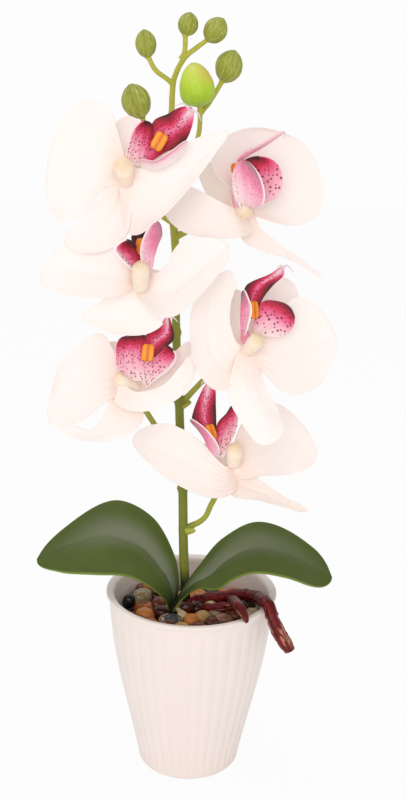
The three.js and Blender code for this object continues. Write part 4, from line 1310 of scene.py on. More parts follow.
def leaf_relief(u, t, half, shape):
    """A rounded groove along the midrib and a slow swell beside it, dying out at the tip."""
    fade = np.sin(np.pi * np.clip(u, 0, 1)) ** 0.6
    groove = -1.1 * np.exp(-((t / 0.13) ** 2))
    swell = 0.06 * half * np.sin(np.pi * np.abs(t)) ** 2
    ripple = 0.5 * np.abs(t) ** 3 * np.sin(5.5 * np.pi * u + 1.3 * np.sign(t))
    return fade * (groove + swell + ripple)


def make_leaf(row, material):
    """One leaf's blade with its short stalk."""
    middle, edge = sizes().leaf_middle / MM, sizes().leaf_edge / MM

    def thickness(u, t):
        return middle + (edge - middle) * np.clip(t**2, 0, 1) + 0 * u

    leaf = Shell()
    leaf.add(*blade(row["shape"], *LEAF_GRID, thickness, leaf_relief))
    route, _ = smooth_route(row["stalk"], 2)
    stalk = [(point, LEAF_STALK_RADIUS) for point in route]
    leaf.add(*tube_rings(stalk, LEAF_STALK_SIDES))
    settle(leaf.piece(row["name"] + "_blade", material, sharp=60), row["name"])


def tube_rings(rows, sides):
    """A plain closed tube over (centre, radius) rows that run upwards."""
    angles = 2 * np.pi * np.arange(sides) / sides
    ring = np.stack([np.cos(angles), np.sin(angles), 0 * angles], 1)
    vertices, faces = turned([np.array(centre) + radius * ring for centre, radius in rows])
    return vertices, faces, {"blade": np.tile((0.2, 0.05, 1), (len(vertices), 1))}


# ---------------------------------------------------------------- the aerial root

# Radii are at the points, and joints are places on the row of points.
ROOT = {
    "points": [
        (2, 5, 88), (6, 9, 91), (17.5, 8, 94), (29, 7, 96), (36, 0, 98.5), (38, -9, 101),
        (39.6, -17.5, 104.6), (41.6, -25, 105), (43.8, -30, 99.6), (47, -31.2, 93), (50.4, -31.6, 87.4),
        (53, -32, 83),
    ],
    "radii": [2.4, 3.2, 3.4, 3.1, 3.3, 3.5, 3.5, 3.3, 3.4, 3.9, 3.8, 2.7],
    "joints": [2.0, 3.3, 4.4, 7.7],
}
# The first branch is the finger that hangs over the rim.
ROOT_BRANCHES = [
    {
        "points": [
            (23, 6, 93), (23.2, -8, 99.5), (24.2, -20, 104.2), (25.4, -29, 106.6), (26.9, -34.5, 106.6),
            (28.4, -38.4, 105), (29.3, -40.3, 102.6),
        ],
        "radii": [2.4, 2.6, 2.7, 2.8, 2.6, 2, 0.9],
        "joints": [1.2],
    },
    {
        "points": [(4, 4, 88), (8, 1, 90.5), (17, -1, 92), (26, 1, 92.5)],
        "radii": [1.8, 2.3, 2.6, 2.2],
        "joints": [1.2, 2.1],
    },
    {
        "points": [(-4, 0, 88), (-2.4, -2, 93), (1, 0, 96.5), (5, 4, 96), (8, 7, 93)],
        "radii": [1.2, 1.3, 1.3, 1.3, 1],
        "joints": [2.4],
    },
]


def root_route(row, seed):
    """A root's route with its joints, a ragged end, and how worn its skin is along it."""
    route, places = smooth_route(row["points"], 0.6)
    girth = girth_at(places, row["radii"])
    for joint in row["joints"]:
        collar = 0.45 * np.exp(-(((places - joint) / 0.12) ** 2))
        pinch = 0.35 * np.exp(-(((places - joint - 0.2) / 0.07) ** 2))
        girth = girth + collar - pinch
    ragged = np.array([chance(k, seed) for k in range(len(route))]) - 0.5
    share = places / places[-1]
    girth = girth + ragged * 0.5 * np.clip((share - 0.7) / 0.3, 0, 1)
    worn = np.clip((share - 0.45) / 0.35, 0.15, 1)
    return route, {"girth": np.clip(girth, 0.3, None) * MM, "worn": worn}


def make_root():
    """The root and its branches in one piece."""
    routes = [root_route(row, 3 + 2 * k) for k, row in enumerate([ROOT, *ROOT_BRANCHES])]
    piece = shaped_by(tube_tree(), "hooked_root", lines_mesh("root_lines", routes), {
        "Sides": 26, "Step": 0.0007, "Unevenness": 0.0014, "Grain": 240.0, "Material": root_finish(),
    }, sharp=70)
    settle(piece, "aerial_root")


# ---------------------------------------------------------------- buds

BUD_PROFILE = [(0, 0.2), (0.07, 0.5), (0.3, 0.92), (0.55, 1), (0.8, 0.76), (0.94, 0.4), (1, 0.12)]
FRESH_PROFILE = [
    (0, 0.25), (0.05, 0.6), (0.2, 0.93), (0.4, 1), (0.66, 0.86), (0.88, 0.54), (0.97, 0.28), (1, 0.12),
]
BUD_GRID = (40, 60)
BUDS = [
    {"name": "bud_1", "base": (-26.9, -1.1, 383.6), "tip": (-28.8, -2, 396.5), "radius": 5},
    {"name": "bud_2", "base": (-8.6, 0, 394.2), "tip": (-6.4, 0, 405), "radius": 4.9},
    {"name": "bud_3", "base": (1.9, 0, 392), "tip": (9.8, 0, 402.4), "radius": 5.6},
    {"name": "bud_4", "base": (10.4, 4, 373.4), "tip": (15.6, 4, 388.5), "radius": 6.6},
    {"name": "bud_5", "base": (-1.1, -8.3, 361.2), "tip": (-4.6, -9, 381.2), "radius": 8.6, "fresh": True},
    {"name": "bud_6", "base": (-29, -10.4, 355), "tip": (-34.6, -12, 370.6), "radius": 6.9},
]


def bud_swell(fresh, seed):
    """Seams where the closed petals meet, and the wrinkles of a dull bud."""
    def swell(share, angles):
        window = math.sin(math.pi * min(max(share, 0), 1)) ** 0.8
        seams = -0.05 * np.exp(-((np.sin(1.5 * (angles + seed)) / 0.16) ** 2))
        wrinkles = 0.022 * np.sin(7 * angles + 3 * share + seed) + 0.016 * np.sin(12 * angles - 5 * share)
        return window * (seams * (0.5 if fresh else 1) + (0 if fresh else wrinkles))

    return swell


def make_bud(row, material, seed):
    """One closed bud."""
    fresh = row.get("fresh", False)
    widths = FRESH_PROFILE if fresh else BUD_PROFILE
    profile = eased_profile([(share, width * row["radius"]) for share, width in widths], BUD_GRID[0])
    bud = Shell()
    bud.add(*club(row["base"], row["tip"], profile, BUD_GRID[1], bud_swell(fresh, seed)))
    settle(bud.piece(row["name"] + "_skin", material), row["name"])


# ---------------------------------------------------------------- blooms


def outline(left, tip, right, **form):
    """A blade's outline: the bulges of its left edge from claw to tip, its tip and its right edge's."""
    return {"left": left, "tip": tip, "right": right, **form}


# Each bloom is drawn in its own frame, in millimetres from its heart. Cup hollows a blade, crease folds it
# along its middle and full fills out its edges. Blush is how pink a tepal's foot is, and shade is painted
# shadow that darkens it towards tan where it lies in shade.
# In a lip's lobe, tone is how deep the print is from left edge to right edge, at the foot, halfway and at
# the end. Outer turns the print away, rim whitens the right edge (1) or the left one (-1), bold enlarges
# the spots, and bare is the part at the foot that has none.
BLOOM_1 = {
    "at": (-36, -38, 330), "turn": 4, "nod": 1,
    "tepals": {
        "petal_left": outline(
            [(-3, 20, -1), (-8, 30, -1), (-20, 30, -1), (-31, 17, -2)], (-36, -5, -2),
            [(-9, -8, 3), (-19, -19, 6), (-27, -23, 7), (-34, -17, 4)]),
        "petal_right": outline(
            [(8, 2, 3), (28, 13, 8), (41, 19, 12)], (47, 18, 13),
            [(0, -14, 4), (3, -28, 6), (16, -22, 7), (31, -6, 10), (43, 11, 12)], cup=0.14, full=1),
        "sepal_left": outline([(-5, 14, -7)], (0, 25, -9), [(10, 20, -7)]),
        "sepal_right": outline([(20, 10, -8)], (33, 4, -8), [(20, -10, -8)]),
        "sepal_low": outline(
            [(-9, -9, 3), (-20, -22, 3)], (-27, -32, 4), [(3, -26, 5), (-6, -35, 6), (-19, -37, 5)], full=1),
    },
    "lip": {
        "wing_left": outline(
            [(2, 9, 8), (5, 18, 9)], (9.5, 22.5, 8), [(12, 9, 3), (14, 20, 3)], base=(5, 3, 3), claw=8,
            tone=((0, 0, 0.05), (0.2, 0.35, 0.65), (0.6, 0.9, 1))),
        "middle": outline(
            [(14, 23, 3), (20, 26, 5), (26, 29, 10)], (31, 28.5, 12),
            [(19, 9, 4), (28, 14, 6), (31.5, 23, 11)], base=(8, 5, 3), full=0.9,
            tone=((0.5, 0.3, 0.45), (0.95, 0.32, 1), (0.6, 0, 0.2))),
        "wing_right": outline(
            [(15, 5.5, 9), (22, 10, 12)], (29, 14, 14), [(16, 1.5, 8), (24, 6, 10)], base=(8, 4, 3),
            outer=True, rim=-1, cup=0, pleat=0, spots=0,
            tone=((0.35, 0.05, 0), (0.7, 0.15, 0), (0.6, 0.15, 0))),
    },
    "column": {"base": (1.5, -5, 2), "tip": (0, 4, 10), "radii": (3, 5)},
    "callus": {"at": (16.5, 14, 6), "turn": -30},
    "whiskers": [
        [(30, 28, 12), (26.5, 30.5, 13), (23, 29, 12)], [(30, 28, 12), (33.5, 26.5, 13), (35, 23, 12)]],
}
BLOOM_2 = {
    "at": (20, -18, 315), "turn": -2, "nod": 3,
    "tepals": {
        "petal_right": outline(
            [(-3, 6, 3), (-13, 15, 3), (-14, 25, 3), (-5, 34, 0)], (10, 37, -3),
            [(10, -6, 3), (26, -9, 0), (38, -3, -4), (40, 12, -6), (30, 30, -6)]),
        "petal_left": outline(
            [(1, -15, 6), (-17, -16, 8), (-30, -12, 6)], (-37, -3, 3),
            [(-7, 0, 7), (-17, 5, 8), (-28, 8, 5)], base=(4, -8, 1), cup=0.12, full=0.95),
        "sepal_top": outline([(-8, 18, -6)], (-2, 30, -8), [(9, 26, -8)]),
        "sepal_low": outline(
            [(10, -10.5, -4), (18, -16.7, -4), (24, -21.3, -4), (31.5, -25.7, -4)], (42, -34.6, -4),
            [(2, -17.5, -3), (12, -22.5, -3), (22.5, -24.8, -3), (31, -28.8, -4)], cup=0.05, crease=-0.15,
            full=0.9),
        "sepal_left": outline([(-17, 5, -6)], (-19, 20, -8), [(-6, 12, -6)], shade=0.15),
    },
    "lip": {
        "wing_far": outline(
            [(-2, 10, 4), (0, 20, 5)], (8, 23, 6), [(18, 5, 6), (19.5, 13, 6), (16, 20.5, 6)],
            base=(5, 1, 5), claw=8, bold=1.4, bare=0.25,
            tone=((0.2, 0.1, 0.1), (0.6, 0.35, 0.2), (1, 0.95, 0.45))),
        "middle": outline(
            [(1.5, 24.5, 12), (9, 28.5, 14)], (19, 34, 16), [(2.5, 23, 9), (10, 27.5, 9)],
            base=(-2, 20, 10), claw=2, outer=True, tone=((0.5, 0.4, 0.5), (0.2, 0.3, 0.6), (0.2, 0.2, 0.3))),
        "wing_near": outline(
            [(-2.5, 3, 12), (-4, 10, 14), (-3.5, 17, 15)], (0.5, 20.5, 14),
            [(11, 2, 15), (10.5, 9, 17), (7, 16, 18)], base=(4, -1, 8), claw=6, cup=-0.15, outer=True,
            rim=1, tone=((0, 0.15, 0.2), (0.1, 0.4, 0.7), (0.45, 0.65, 0.95))),
        "throat": outline(
            [(-4.5, 6, 11)], (-4.8, 15, 13), [(-3.5, 6, 12)], base=(-1.5, -1, 9), outer=True, rim=1,
            tone=((0.5, 0.3, 0.2), (0.5, 0.3, 0.2), (0.4, 0.3, 0.2))),
    },
    "column": {"base": (-1, 2, 4), "tip": (3.5, -5, 9), "radii": (3, 3.3)},
    "callus": {"at": (-2.9, 15.5, 6), "turn": 8, "yaw": 75},
    "whiskers": [[(18, 33.5, 16), (19.5, 33.5, 16), (19, 31, 15)]],
}
BLOOM_3 = {
    "at": (-28, -40, 282), "turn": 4, "nod": 7,
    "tepals": {
        "petal_left": outline(
            [(-5, 7, 4), (-14, 14, 3), (-34, 14.5, 1), (-42, 8, 0)], (-47, -1.5, -1),
            [(-13, -10, 8), (-33, -9.5, 4), (-43, -6, 0)]),
        "petal_right": outline(
            [(8.5, 2, 2), (18, 14.5, 2), (27, 19, 3)], (41.5, 15, 4),
            [(2, -12, 7), (12, -19, 10), (25, -12, 9), (38.5, 3, 6)], cup=0.05, crease=0.3, full=1),
        "sepal_low": outline(
            [(-10, -7, 0), (-23, -15, -2)], (-27, -20, -3),
            [(9, -18, 2), (11, -23, 2), (0, -28, 0), (-18, -26, -2)], full=1),
        "sepal_left": outline([(-16, 5, -8)], (-14, 11, -9), [(-6, 8, -8)]),
        "sepal_right": outline([(13, 3, -8)], (28, 8, -9), [(17, -8, -8)]),
    },
    "lip": {
        "wing_left": outline(
            [(-4, 3.5, 10), (-9.5, 9, 13), (-11, 13, 15)], (-6, 16.5, 15), [(1, 7, 6), (-1, 13.5, 5)],
            base=(0, 3, 6), full=0.9, rim=-1, tone=((0.1, 0.25, 0.6), (0.1, 0.45, 0.9), (0.4, 0.85, 1))),
        "middle": outline(
            [(-3, 15, 0), (-3.5, 19, -1)], (3.5, 21.5, -3), [(1.5, 15, 0)], base=(0, 11, 2), full=0.8,
            tone=((0.95, 0.95, 0.95), (0.95, 0.95, 0.95), (0.95, 0.95, 0.95))),
        "wing_right": outline(
            [(0.5, 9, 12), (1, 15, 13), (4, 22, 14)], (8, 25, 14),
            [(7, 8.5, 10), (8.5, 14, 10), (10.5, 20, 11)], base=(4, 2, 8), claw=3, outer=True, rim=-1,
            tone=((0.1, 0.2, 0.2), (0.25, 0.5, 0.65), (0.5, 0.7, 0.85))),
    },
    "column": {"base": (0.5, -6, 3), "tip": (0.5, 5.5, 13), "radii": (3.7, 3.9)},
    "callus": {"at": (0.8, 13.5, 3.5), "turn": 0, "yaw": 60},
    "whiskers": [],
}
BLOOM_4 = {
    "at": (26, -36, 249), "turn": -3, "nod": 11,
    "tepals": {
        "petal_left": outline(
            [(-12, -22, 9), (-25, -13, 7), (-29, 2, 5), (-27, 21, 3)], (-12, 36, 2),
            [(-5, 0, 3), (-9, 8, 3), (-10, 20, 2), (-8, 30, 2)]),
        "petal_right": outline(
            [(9, 12, 2), (22, 24, 0), (33, 19, -3)], (42, 5, -4),
            [(6, -12, 4), (20, -23, 7), (34, -18, 2), (41, -6, -2)]),
        "sepal_right": outline([(5, 25, -8)], (15, 34, -9), [(23, 23, -8)]),
        "sepal_low": outline(
            [(-9, -16, 7), (-10, -25, 8), (-1, -40, 7)], (8, -48, 6),
            [(7, -17, 4), (15, -31, 4), (17, -42, 5)], cup=0.05, crease=-0.3, full=0.95),
        "sepal_left": outline([(-14, 10, -7)], (-8, 27, -9), [(-2, 18, -8)], shade=0.1),
    },
    "lip": {
        "wing_left": outline(
            [(-5, 12, 9), (-5, 21, 10)], (-4.2, 26, 11), [(-1, 10.5, 13), (0, 17, 14), (-2, 23, 13)],
            base=(-3.5, 5, 8), claw=2, outer=True, rim=1,
            tone=((0.4, 0.4, 0.3), (0.6, 0.45, 0.3), (1, 0.85, 0.6))),
        "middle": outline(
            [(-4, 24, 4), (-2.5, 29, 5), (8, 34, 9)], (14, 37, 14),
            [(5, 22, 5), (10, 29, 10), (14.5, 33.5, 13)], base=(0, 14, 5), full=0.9,
            tone=((0.9, 0.5, 0.7), (1, 0.35, 1), (0.4, 0, 0.25))),
        "wing_right": outline(
            [(2, 13, 5), (5, 21, 4), (12.5, 21.7, 4), (18.5, 19, 5)], (21, 13.5, 5),
            [(6, 5, 8), (12, 4.6, 8), (17, 5.8, 7), (20, 9, 6)], base=(2, 6, 6), bold=1.4, bare=0.15,
            tone=((0.1, 0, 0.05), (0.75, 0.3, 0.05), (1, 0.7, 0.3))),
        "throat": outline(
            [(-4.5, 3, 8)], (-3, 8, 9), [(0, 4, 8)], base=(-1, 0, 6), outer=True,
            tone=((0.4, 0.4, 0.4), (0.5, 0.5, 0.5), (0.5, 0.5, 0.5))),
    },
    "column": {"base": (-2, -3, 3), "tip": (4.2, 3.6, 12), "radii": (3.3, 3.8)},
    "callus": {"at": (0.8, 17, 8), "turn": 6, "yaw": 50},
    "whiskers": [
        [(14, 36.5, 14), (13, 38, 15), (11.5, 36.5, 14)], [(14, 36.5, 14), (16, 38, 15), (19, 35, 15)]],
}
BLOOM_5 = {
    "at": (-37, -34, 227), "turn": 5, "nod": 14,
    "tepals": {
        "petal_left": outline(
            [(-3, 16, -1), (-11, 25.5, 0), (-27.5, 14.5, 0), (-34, -2, 0)], (-36, -16, -1),
            [(-8, -8.5, 4), (-19, -17, 6), (-30, -21, 3)]),
        "petal_right": outline(
            [(7, -3, 9), (20, 0, 11), (29, 9.5, 11)], (34, 14, 10),
            [(4.5, -12.5, 8), (19, -11, 10), (32, -2.5, 10), (36.5, 7.5, 10)], base=(-2, -3, 6), cup=-0.2,
            full=1),
        "sepal_low": outline(
            [(-7, -11, 2), (-15, -22, 4), (-22, -20, 5)], (-29, -22, 5),
            [(11, -15, 3), (4, -24, 4), (-10, -27.5, 4), (-22, -26, 5)], full=0.95),
        "sepal_left": outline([(-12, 14, -8)], (-5, 22, -9), [(3, 18, -8)]),
        "sepal_right": outline(
            [(14, 8, -5), (27, 17, -2)], (34, 21, 4), [(18, -3, 3), (31, 8, 7)], base=(4, -2, 0), shade=0.1),
    },
    "lip": {
        "wing_left": outline(
            [(-1.5, 8, 7), (-2.5, 15, 10), (-1, 22, 10)], (4, 24, 8),
            [(11, 9, 4), (12, 18, 4), (12, 24.5, 4)], base=(7, 2, 5), claw=9,
            tone=((0, 0.05, 0), (0.35, 0.3, 0.45), (0.95, 1.1, 1.1))),
        "middle": outline(
            [(12, 24.5, 4), (18, 28, 7), (20.5, 31.5, 11)], (22, 34, 12),
            [(21, 18, 5), (25.5, 22.5, 8), (24.5, 29, 11)], base=(13, 14, 4), full=0.9,
            tone=((0.7, 0.4, 0.7), (0.75, 0.25, 1.1), (0.25, 0, 0.8))),
        "wing_right": outline(
            [(10, 12, 3), (15, 18, 3), (21, 20, 5)], (25.5, 17, 8),
            [(16, 2, 5), (23, 7.5, 8), (26.5, 13, 9)], base=(10.5, 1, 3), claw=5, rim=1,
            tone=((0, 0, 0.05), (0.35, 0.35, 0.15), (1, 0.9, 0.4))),
    },
    "column": {"base": (8, -1.5, 3), "tip": (-3, 4.2, 9), "radii": (2.2, 2.9)},
    "callus": {"at": (13, 16, 7), "turn": -6},
    "whiskers": [
        [(23.5, 33, 12), (21.5, 34, 13), (19, 33.5, 12)],
        [(23.5, 33, 12), (25.5, 32.5, 13), (27.5, 30.5, 12)]],
}
BLOOM_6 = {
    "at": (22, -16, 178), "turn": -2, "nod": 18,
    "tepals": {
        "petal_left": outline(
            [(-6, 2, 5), (-19, 15, 7), (-34, 22.5, 5), (-48, 21.5, 3)], (-55, 14.5, 0),
            [(-2, -12, 8), (-13, -14.5, 9), (-33, -6.5, 9), (-48, 4.5, 4)], blush=1.2),
        "petal_right": outline(
            [(1, 22, 2), (12, 36, -1), (24, 34.5, -2), (34, 26, -2)], (42, 12, -2),
            [(14, -2.5, 6), (30, -0.5, 3), (40, 4.5, 0)]),
        "sepal_low": outline(
            [(10.5, -3, 1), (25, -12.5, 2)], (38, -20, 2), [(-2, -13, 3), (12, -15, 3), (22, -17.5, 3)],
            cup=0.1, full=0.85, shade=0.3),
        "sepal_left": outline([(-22, 8, -6)], (-16, 14, -8), [(-7, 15, -6)]),
        "sepal_right": outline([(4, 24, -8)], (13, 33, -8), [(20, 22, -6)]),
    },
    "lip": {
        "wing_left": outline(
            [(-14.5, 11, 10), (-17.5, 16.5, 12), (-20.5, 20.5, 12)], (-24.5, 25.5, 12),
            [(-9.2, 11.5, 13), (-13.5, 18, 15), (-19.5, 23.3, 14)], base=(-10.5, 7.5, 9), claw=2,
            outer=True, rim=1, tone=((0.4, 0.3, 0.2), (0.7, 0.5, 0.4), (0.9, 0.8, 0.6))),
        "middle": outline(
            [(-22, 23, 6), (-23.7, 27, 6), (-19.5, 39.5, 9)], (-15.5, 45, 11),
            [(-11, 24, 5), (-11.5, 33, 6), (-12.3, 42.5, 10)], base=(-14, 20, 6), claw=6, full=0.9,
            tone=((0.9, 0.4, 0.95), (0.95, 0.3, 1), (0.4, 0, 0.35))),
        "wing_right": outline(
            [(-11, 15, 5), (-10.5, 24, 4), (-6, 29.5, 6)], (-2, 34.5, 9),
            [(-4, 13, 9), (-0.5, 22, 10), (0, 30, 10)], base=(-9, 7, 8),
            tone=((0.05, 0, 0.05), (0.75, 0.35, 0.15), (1, 0.65, 0.35))),
    },
    "column": {"base": (-1.5, 3, 3), "tip": (-0.7, 12.5, 13), "radii": (3.7, 3.9)},
    "callus": {"at": (-13.8, 19.3, 9), "turn": 18, "yaw": 45},
    "whiskers": [
        [(-16, 44, 11), (-18.5, 45.5, 12), (-19.5, 43, 11)],
        [(-16, 44, 11), (-13.5, 45, 12), (-12, 42, 11)]],
}
BLOOMS = [BLOOM_1, BLOOM_2, BLOOM_3, BLOOM_4, BLOOM_5, BLOOM_6]
# Rows and columns of the fine grid, and the form unless a shape gives its own.
TEPAL_KINDS = {
    "petal": {"grid": (44, 32), "form": {"claw": 10, "cup": 0.2, "full": 1}},
    "low": {"grid": (36, 22), "form": {"claw": 9, "cup": 0.15}},
    "back": {"grid": (30, 18), "form": {"claw": 8, "cup": 0.15}},
}
LIP_GRID = (40, 26)
TONE_PLACES = (0, 0.5, 0.88)
LIP_CLAW = 4
SPOT_COVER = 0.6
TEPAL_FOLD = 0.5
TEPAL_WAVE = 0.9
HEART = {"centre": (0, 0, -3), "radii": (4.6, 4.6, 3.6)}
COLUMN_PROFILE = [(-0.1, 0.4), (0.05, 0.9), (0.3, 1), (0.8, 1), (0.98, 0.75), (1.05, 0.1)]
COLUMN_GRID = (30, 36)
# Width, length and depth.
CALLUS = (6, 8.5, 3.4)


def tepal_kind(name):
    """The grid and claw of a petal, of the low sepal or of a sepal at the back."""
    if name.startswith("petal"):
        return TEPAL_KINDS["petal"]
    return TEPAL_KINDS["low" if name == "sepal_low" else "back"]


def tepal_relief(u, t, half, shape):
    """Soft fold down the middle, fine rays from the claw and a slow wave along the edges."""
    fade = np.sin(np.pi * np.clip(u, 0, 1)) ** 0.5
    fold = -TEPAL_FOLD * np.exp(-((t / 0.14) ** 2))
    rays = 0.07 * np.cos(7 * np.pi * t) * (1 - t**2)
    swing = 4.2 * np.pi * u + shape["phase"] + 2 * np.sign(t)
    wave = TEPAL_WAVE * np.abs(t) ** 3 * np.sin(swing)
    crease = -shape.get("crease", 0) * half * (1 - np.sqrt(t**2 + 0.01))
    return fade * (fold + rays + wave) * np.minimum(half / 8, 1) + crease


def lobe_relief(u, t, half, shape):
    """Soft pleats along a lip's lobe, dying out at its foot, tip and edges."""
    fade = np.sin(np.pi * np.clip(u, 0, 1)) ** 0.5
    return fade * shape.get("pleat", 0.3) * np.cos(3 * np.pi * t) * (1 - t**2) * np.minimum(half / 6, 1)


def ellipsoid(centre, radii, sides=20, rows=12):
    """A closed round body in millimetres."""
    angles = 2 * np.pi * np.arange(sides) / sides
    rings = []
    for tilt in np.linspace(-math.pi / 2, math.pi / 2, rows + 2)[1:-1]:
        level = math.cos(tilt)
        ring = np.stack([np.cos(angles) * level, np.sin(angles) * level, 0 * angles + math.sin(tilt)], 1)
        rings.append(np.array(centre) + ring * radii)
    return turned(rings)


def make_tepals(number, bloom, material):
    """A bloom's petals and sepals in one cloth head, joined at its heart."""
    matrix = bloom_frame(bloom)
    head = Shell()
    thickness = even(sizes().petal_thickness / MM)
    for k, (name, shape) in enumerate(bloom["tepals"].items()):
        kind = tepal_kind(name)
        shape = {"phase": 1.7 * k + 2.3 * number, **kind["form"], **shape}
        vertices, faces, values = blade(shape, *kind["grid"], thickness, tepal_relief)
        # Blush is the tepal's pink foot; its shade, the second value, is painted shadow.
        values["blush"] = np.tile((shape.get("blush", 0.35), shape.get("shade", 0), 0), (len(vertices), 1))
        head.add(vertices, faces, values, matrix)
    head.add(*ellipsoid(HEART["centre"], HEART["radii"]), None, matrix)
    settle(head.piece(f"petals_{number}", material), f"bloom_{number}_tepals")


def print_values(shape, values):
    """Each vertex's depth of print, share of spots and pale rim, which is below 0 on a turned lobe."""
    t, u, _ = values["blade"].T
    left, middle, right = np.array(shape["tone"]).T
    depth = np.interp(u, TONE_PLACES, middle)
    edge = np.where(t < 0, np.interp(u, TONE_PLACES, left), np.interp(u, TONE_PLACES, right))
    reach = np.abs(t) ** (0.9 if shape["stripe"] else 1.2)
    depth = depth + (edge - depth) * reach
    spotted = np.clip((u - shape.get("bare", 0)) / 0.1, 0, 1) * np.clip((0.8 - depth) / 0.15, 0, 1)
    spotted = spotted * shape.get("spots", SPOT_COVER)
    if shape["stripe"]:
        spotted = spotted * 1.3 * np.clip((0.8 - u) / 0.15, 0, 1)
    rim = 0.02 + 0.98 * np.clip((shape.get("rim", 0) * t - 0.84) / 0.12, 0, 1)
    return np.stack([depth, spotted, -rim if shape.get("outer") else rim], 1)


def make_lip(number, bloom, material):
    """A bloom's lip, lobe by lobe."""
    matrix = bloom_frame(bloom)
    lip = Shell()
    thickness = even(sizes().lip_thickness / MM)
    for k, (name, shape) in enumerate(bloom["lip"].items()):
        shape = {"cup": 0.12, "claw": LIP_CLAW, "full": 1, "stripe": name == "middle", **shape}
        vertices, faces, values = blade(shape, *LIP_GRID, thickness, lobe_relief)
        values["print"] = print_values(shape, values)
        # Each lobe takes its spots from a patch of its own.
        patch = np.array((31.7 * k + 7.1 * number, 17.3 * k))
        values["flat"] = values["flat"] / shape.get("bold", 1) + patch
        lip.add(vertices, faces, values, matrix)
    settle(lip.piece(f"lip_{number}", material), f"bloom_{number}_lip")


def column_swell(share, angles):
    """A cap in three soft lobes at the top and a groove down the front of the club."""
    cap = max(0, (share - 0.72) / 0.3)
    groove = 0.05 * math.sin(math.pi * min(share, 1)) * np.exp(-((angles - 4.4) / 0.4) ** 2)
    return cap * 0.1 * np.cos(3 * angles) - groove


def make_column(number, bloom, material):
    """A bloom's cream column, from its foot's radius to its head's."""
    ends = bloom["column"]
    foot, head = ends["radii"]
    widths = [
        (share, width * (foot + (head - foot) * min(max(share, 0), 1))) for share, width in COLUMN_PROFILE]
    profile = eased_profile(widths, COLUMN_GRID[0])
    column = Shell()
    vertices, faces, values = club(ends["base"], ends["tip"], profile, COLUMN_GRID[1], column_swell)
    column.add(vertices, faces, values, bloom_frame(bloom))
    settle(column.piece(f"column_{number}", material), f"bloom_{number}_column")


def callus_body(row, sides=28, rows=18):
    """A rounded block in two halves: a superellipsoid with a groove down its front."""
    def rounded(value, power=0.5):
        return np.sign(value) * np.abs(value) ** power

    angles = 2 * np.pi * np.arange(sides) / sides
    rings, ridge = [], []
    for tilt in np.linspace(-math.pi / 2, math.pi / 2, rows + 2)[1:-1]:
        level = rounded(math.cos(tilt))
        x = level * rounded(np.cos(angles)) * CALLUS[0] / 2
        z = level * rounded(np.sin(angles)) * CALLUS[2] / 2
        y = np.full(sides, float(rounded(math.sin(tilt))) * CALLUS[1] / 2)
        groove = np.exp(-((x / 0.8) ** 2)) * (z > 0)
        rings.append(np.stack([x, y, z * (1 - 0.4 * groove)], 1))
        # Ridge is high on the front away from the groove; the finish paints shade where it is low.
        ridge.append(np.clip(z / CALLUS[2] * 2, 0, 1) * (1 - groove))
    vertices, faces = turned(rings)
    faces = [face[::-1] for face in faces]
    turn, yaw = math.radians(row["turn"]), math.radians(row.get("yaw", 0))
    spin = np.array(Matrix.Rotation(turn, 3, "Z") @ Matrix.Rotation(yaw, 3, "Y"))
    values = np.concatenate([np.concatenate(ridge), [0.5, 0.5]])
    return vertices @ spin.T + np.array(row["at"], float), faces, {"ridge": values[:, None]}


def make_callus(number, bloom, material):
    """A bloom's orange callus."""
    callus = Shell()
    callus.add(*callus_body(bloom["callus"]), bloom_frame(bloom))
    settle(callus.piece(f"callus_{number}", material), f"bloom_{number}_callus")


def whisker_routes(bloom):
    """The tendrils at a lip's tip, thinner towards their ends."""
    matrix = bloom_frame(bloom)
    routes = []
    for points in bloom["whiskers"]:
        route, places = smooth_route(points, 0.5)
        share = places / places[-1]
        girth = sizes().whisker_radius * (1.15 - 0.9 * share)
        routes.append((route @ matrix[:3, :3].T + matrix[:3, 3], {"girth": girth}))
    return routes


def make_whiskers(number, bloom, material, tree):
    """The tendrils of one lip in one piece."""
    mesh = lines_mesh(f"whisker_lines_{number}", whisker_routes(bloom))
    piece = shaped_by(tree, f"whiskers_{number}", mesh, {
        "Sides": 8, "Step": 0.0005, "Unevenness": 0.0001, "Grain": 900.0, "Material": material})
    settle(piece, f"bloom_{number}_lip")


# ---------------------------------------------------------------- the stage

CAMERA = {
    "place": (0.27, -505.1, 341.5),
    "heading": 0.42,
    "pitch": 14.41,
    "roll": 1.34,
    "focal_pixels": 979.4,
    "image_height": 800,
}
SENSOR = 36.0
FLOOR_RADIUS = 6.0
FLOOR_SIDES = 64
WORLD = {"backdrop": 0.983, "light": 0.68}
# Soft panels: place, size and power. Both are aimed at one point on the plant.
AIM = (0, 0, 0.2)
PANELS = {
    "key": ((-0.2, -1.8, 0.75), 1.7, 12.4),
    "top": ((-0.3, 0.2, 1.5), 0.9, 3.0),
}


def make_camera():
    """The camera that the photo was taken with, as far as it could be fitted."""
    heading, pitch, roll = (math.radians(CAMERA[key]) for key in ("heading", "pitch", "roll"))
    forward = Vector((
        math.sin(heading) * math.cos(pitch), math.cos(heading) * math.cos(pitch), -math.sin(pitch)))
    level = Vector((math.cos(heading), -math.sin(heading), 0))
    above = level.cross(forward)
    right = level * math.cos(roll) + above * math.sin(roll)
    up = above * math.cos(roll) - level * math.sin(roll)
    data = bpy.data.cameras.new("camera")
    data.sensor_fit = "VERTICAL"
    data.sensor_height = SENSOR
    data.lens = CAMERA["focal_pixels"] * SENSOR / CAMERA["image_height"]
    data.clip_start = 0.01
    camera = bpy.data.objects.new("camera", data)
    bpy.context.scene.collection.objects.link(camera)
    rotation = Matrix((right, up, -forward)).transposed().to_4x4()
    camera.matrix_world = Matrix.Translation(Vector(CAMERA["place"]) * MM) @ rotation
    bpy.context.scene.camera = camera


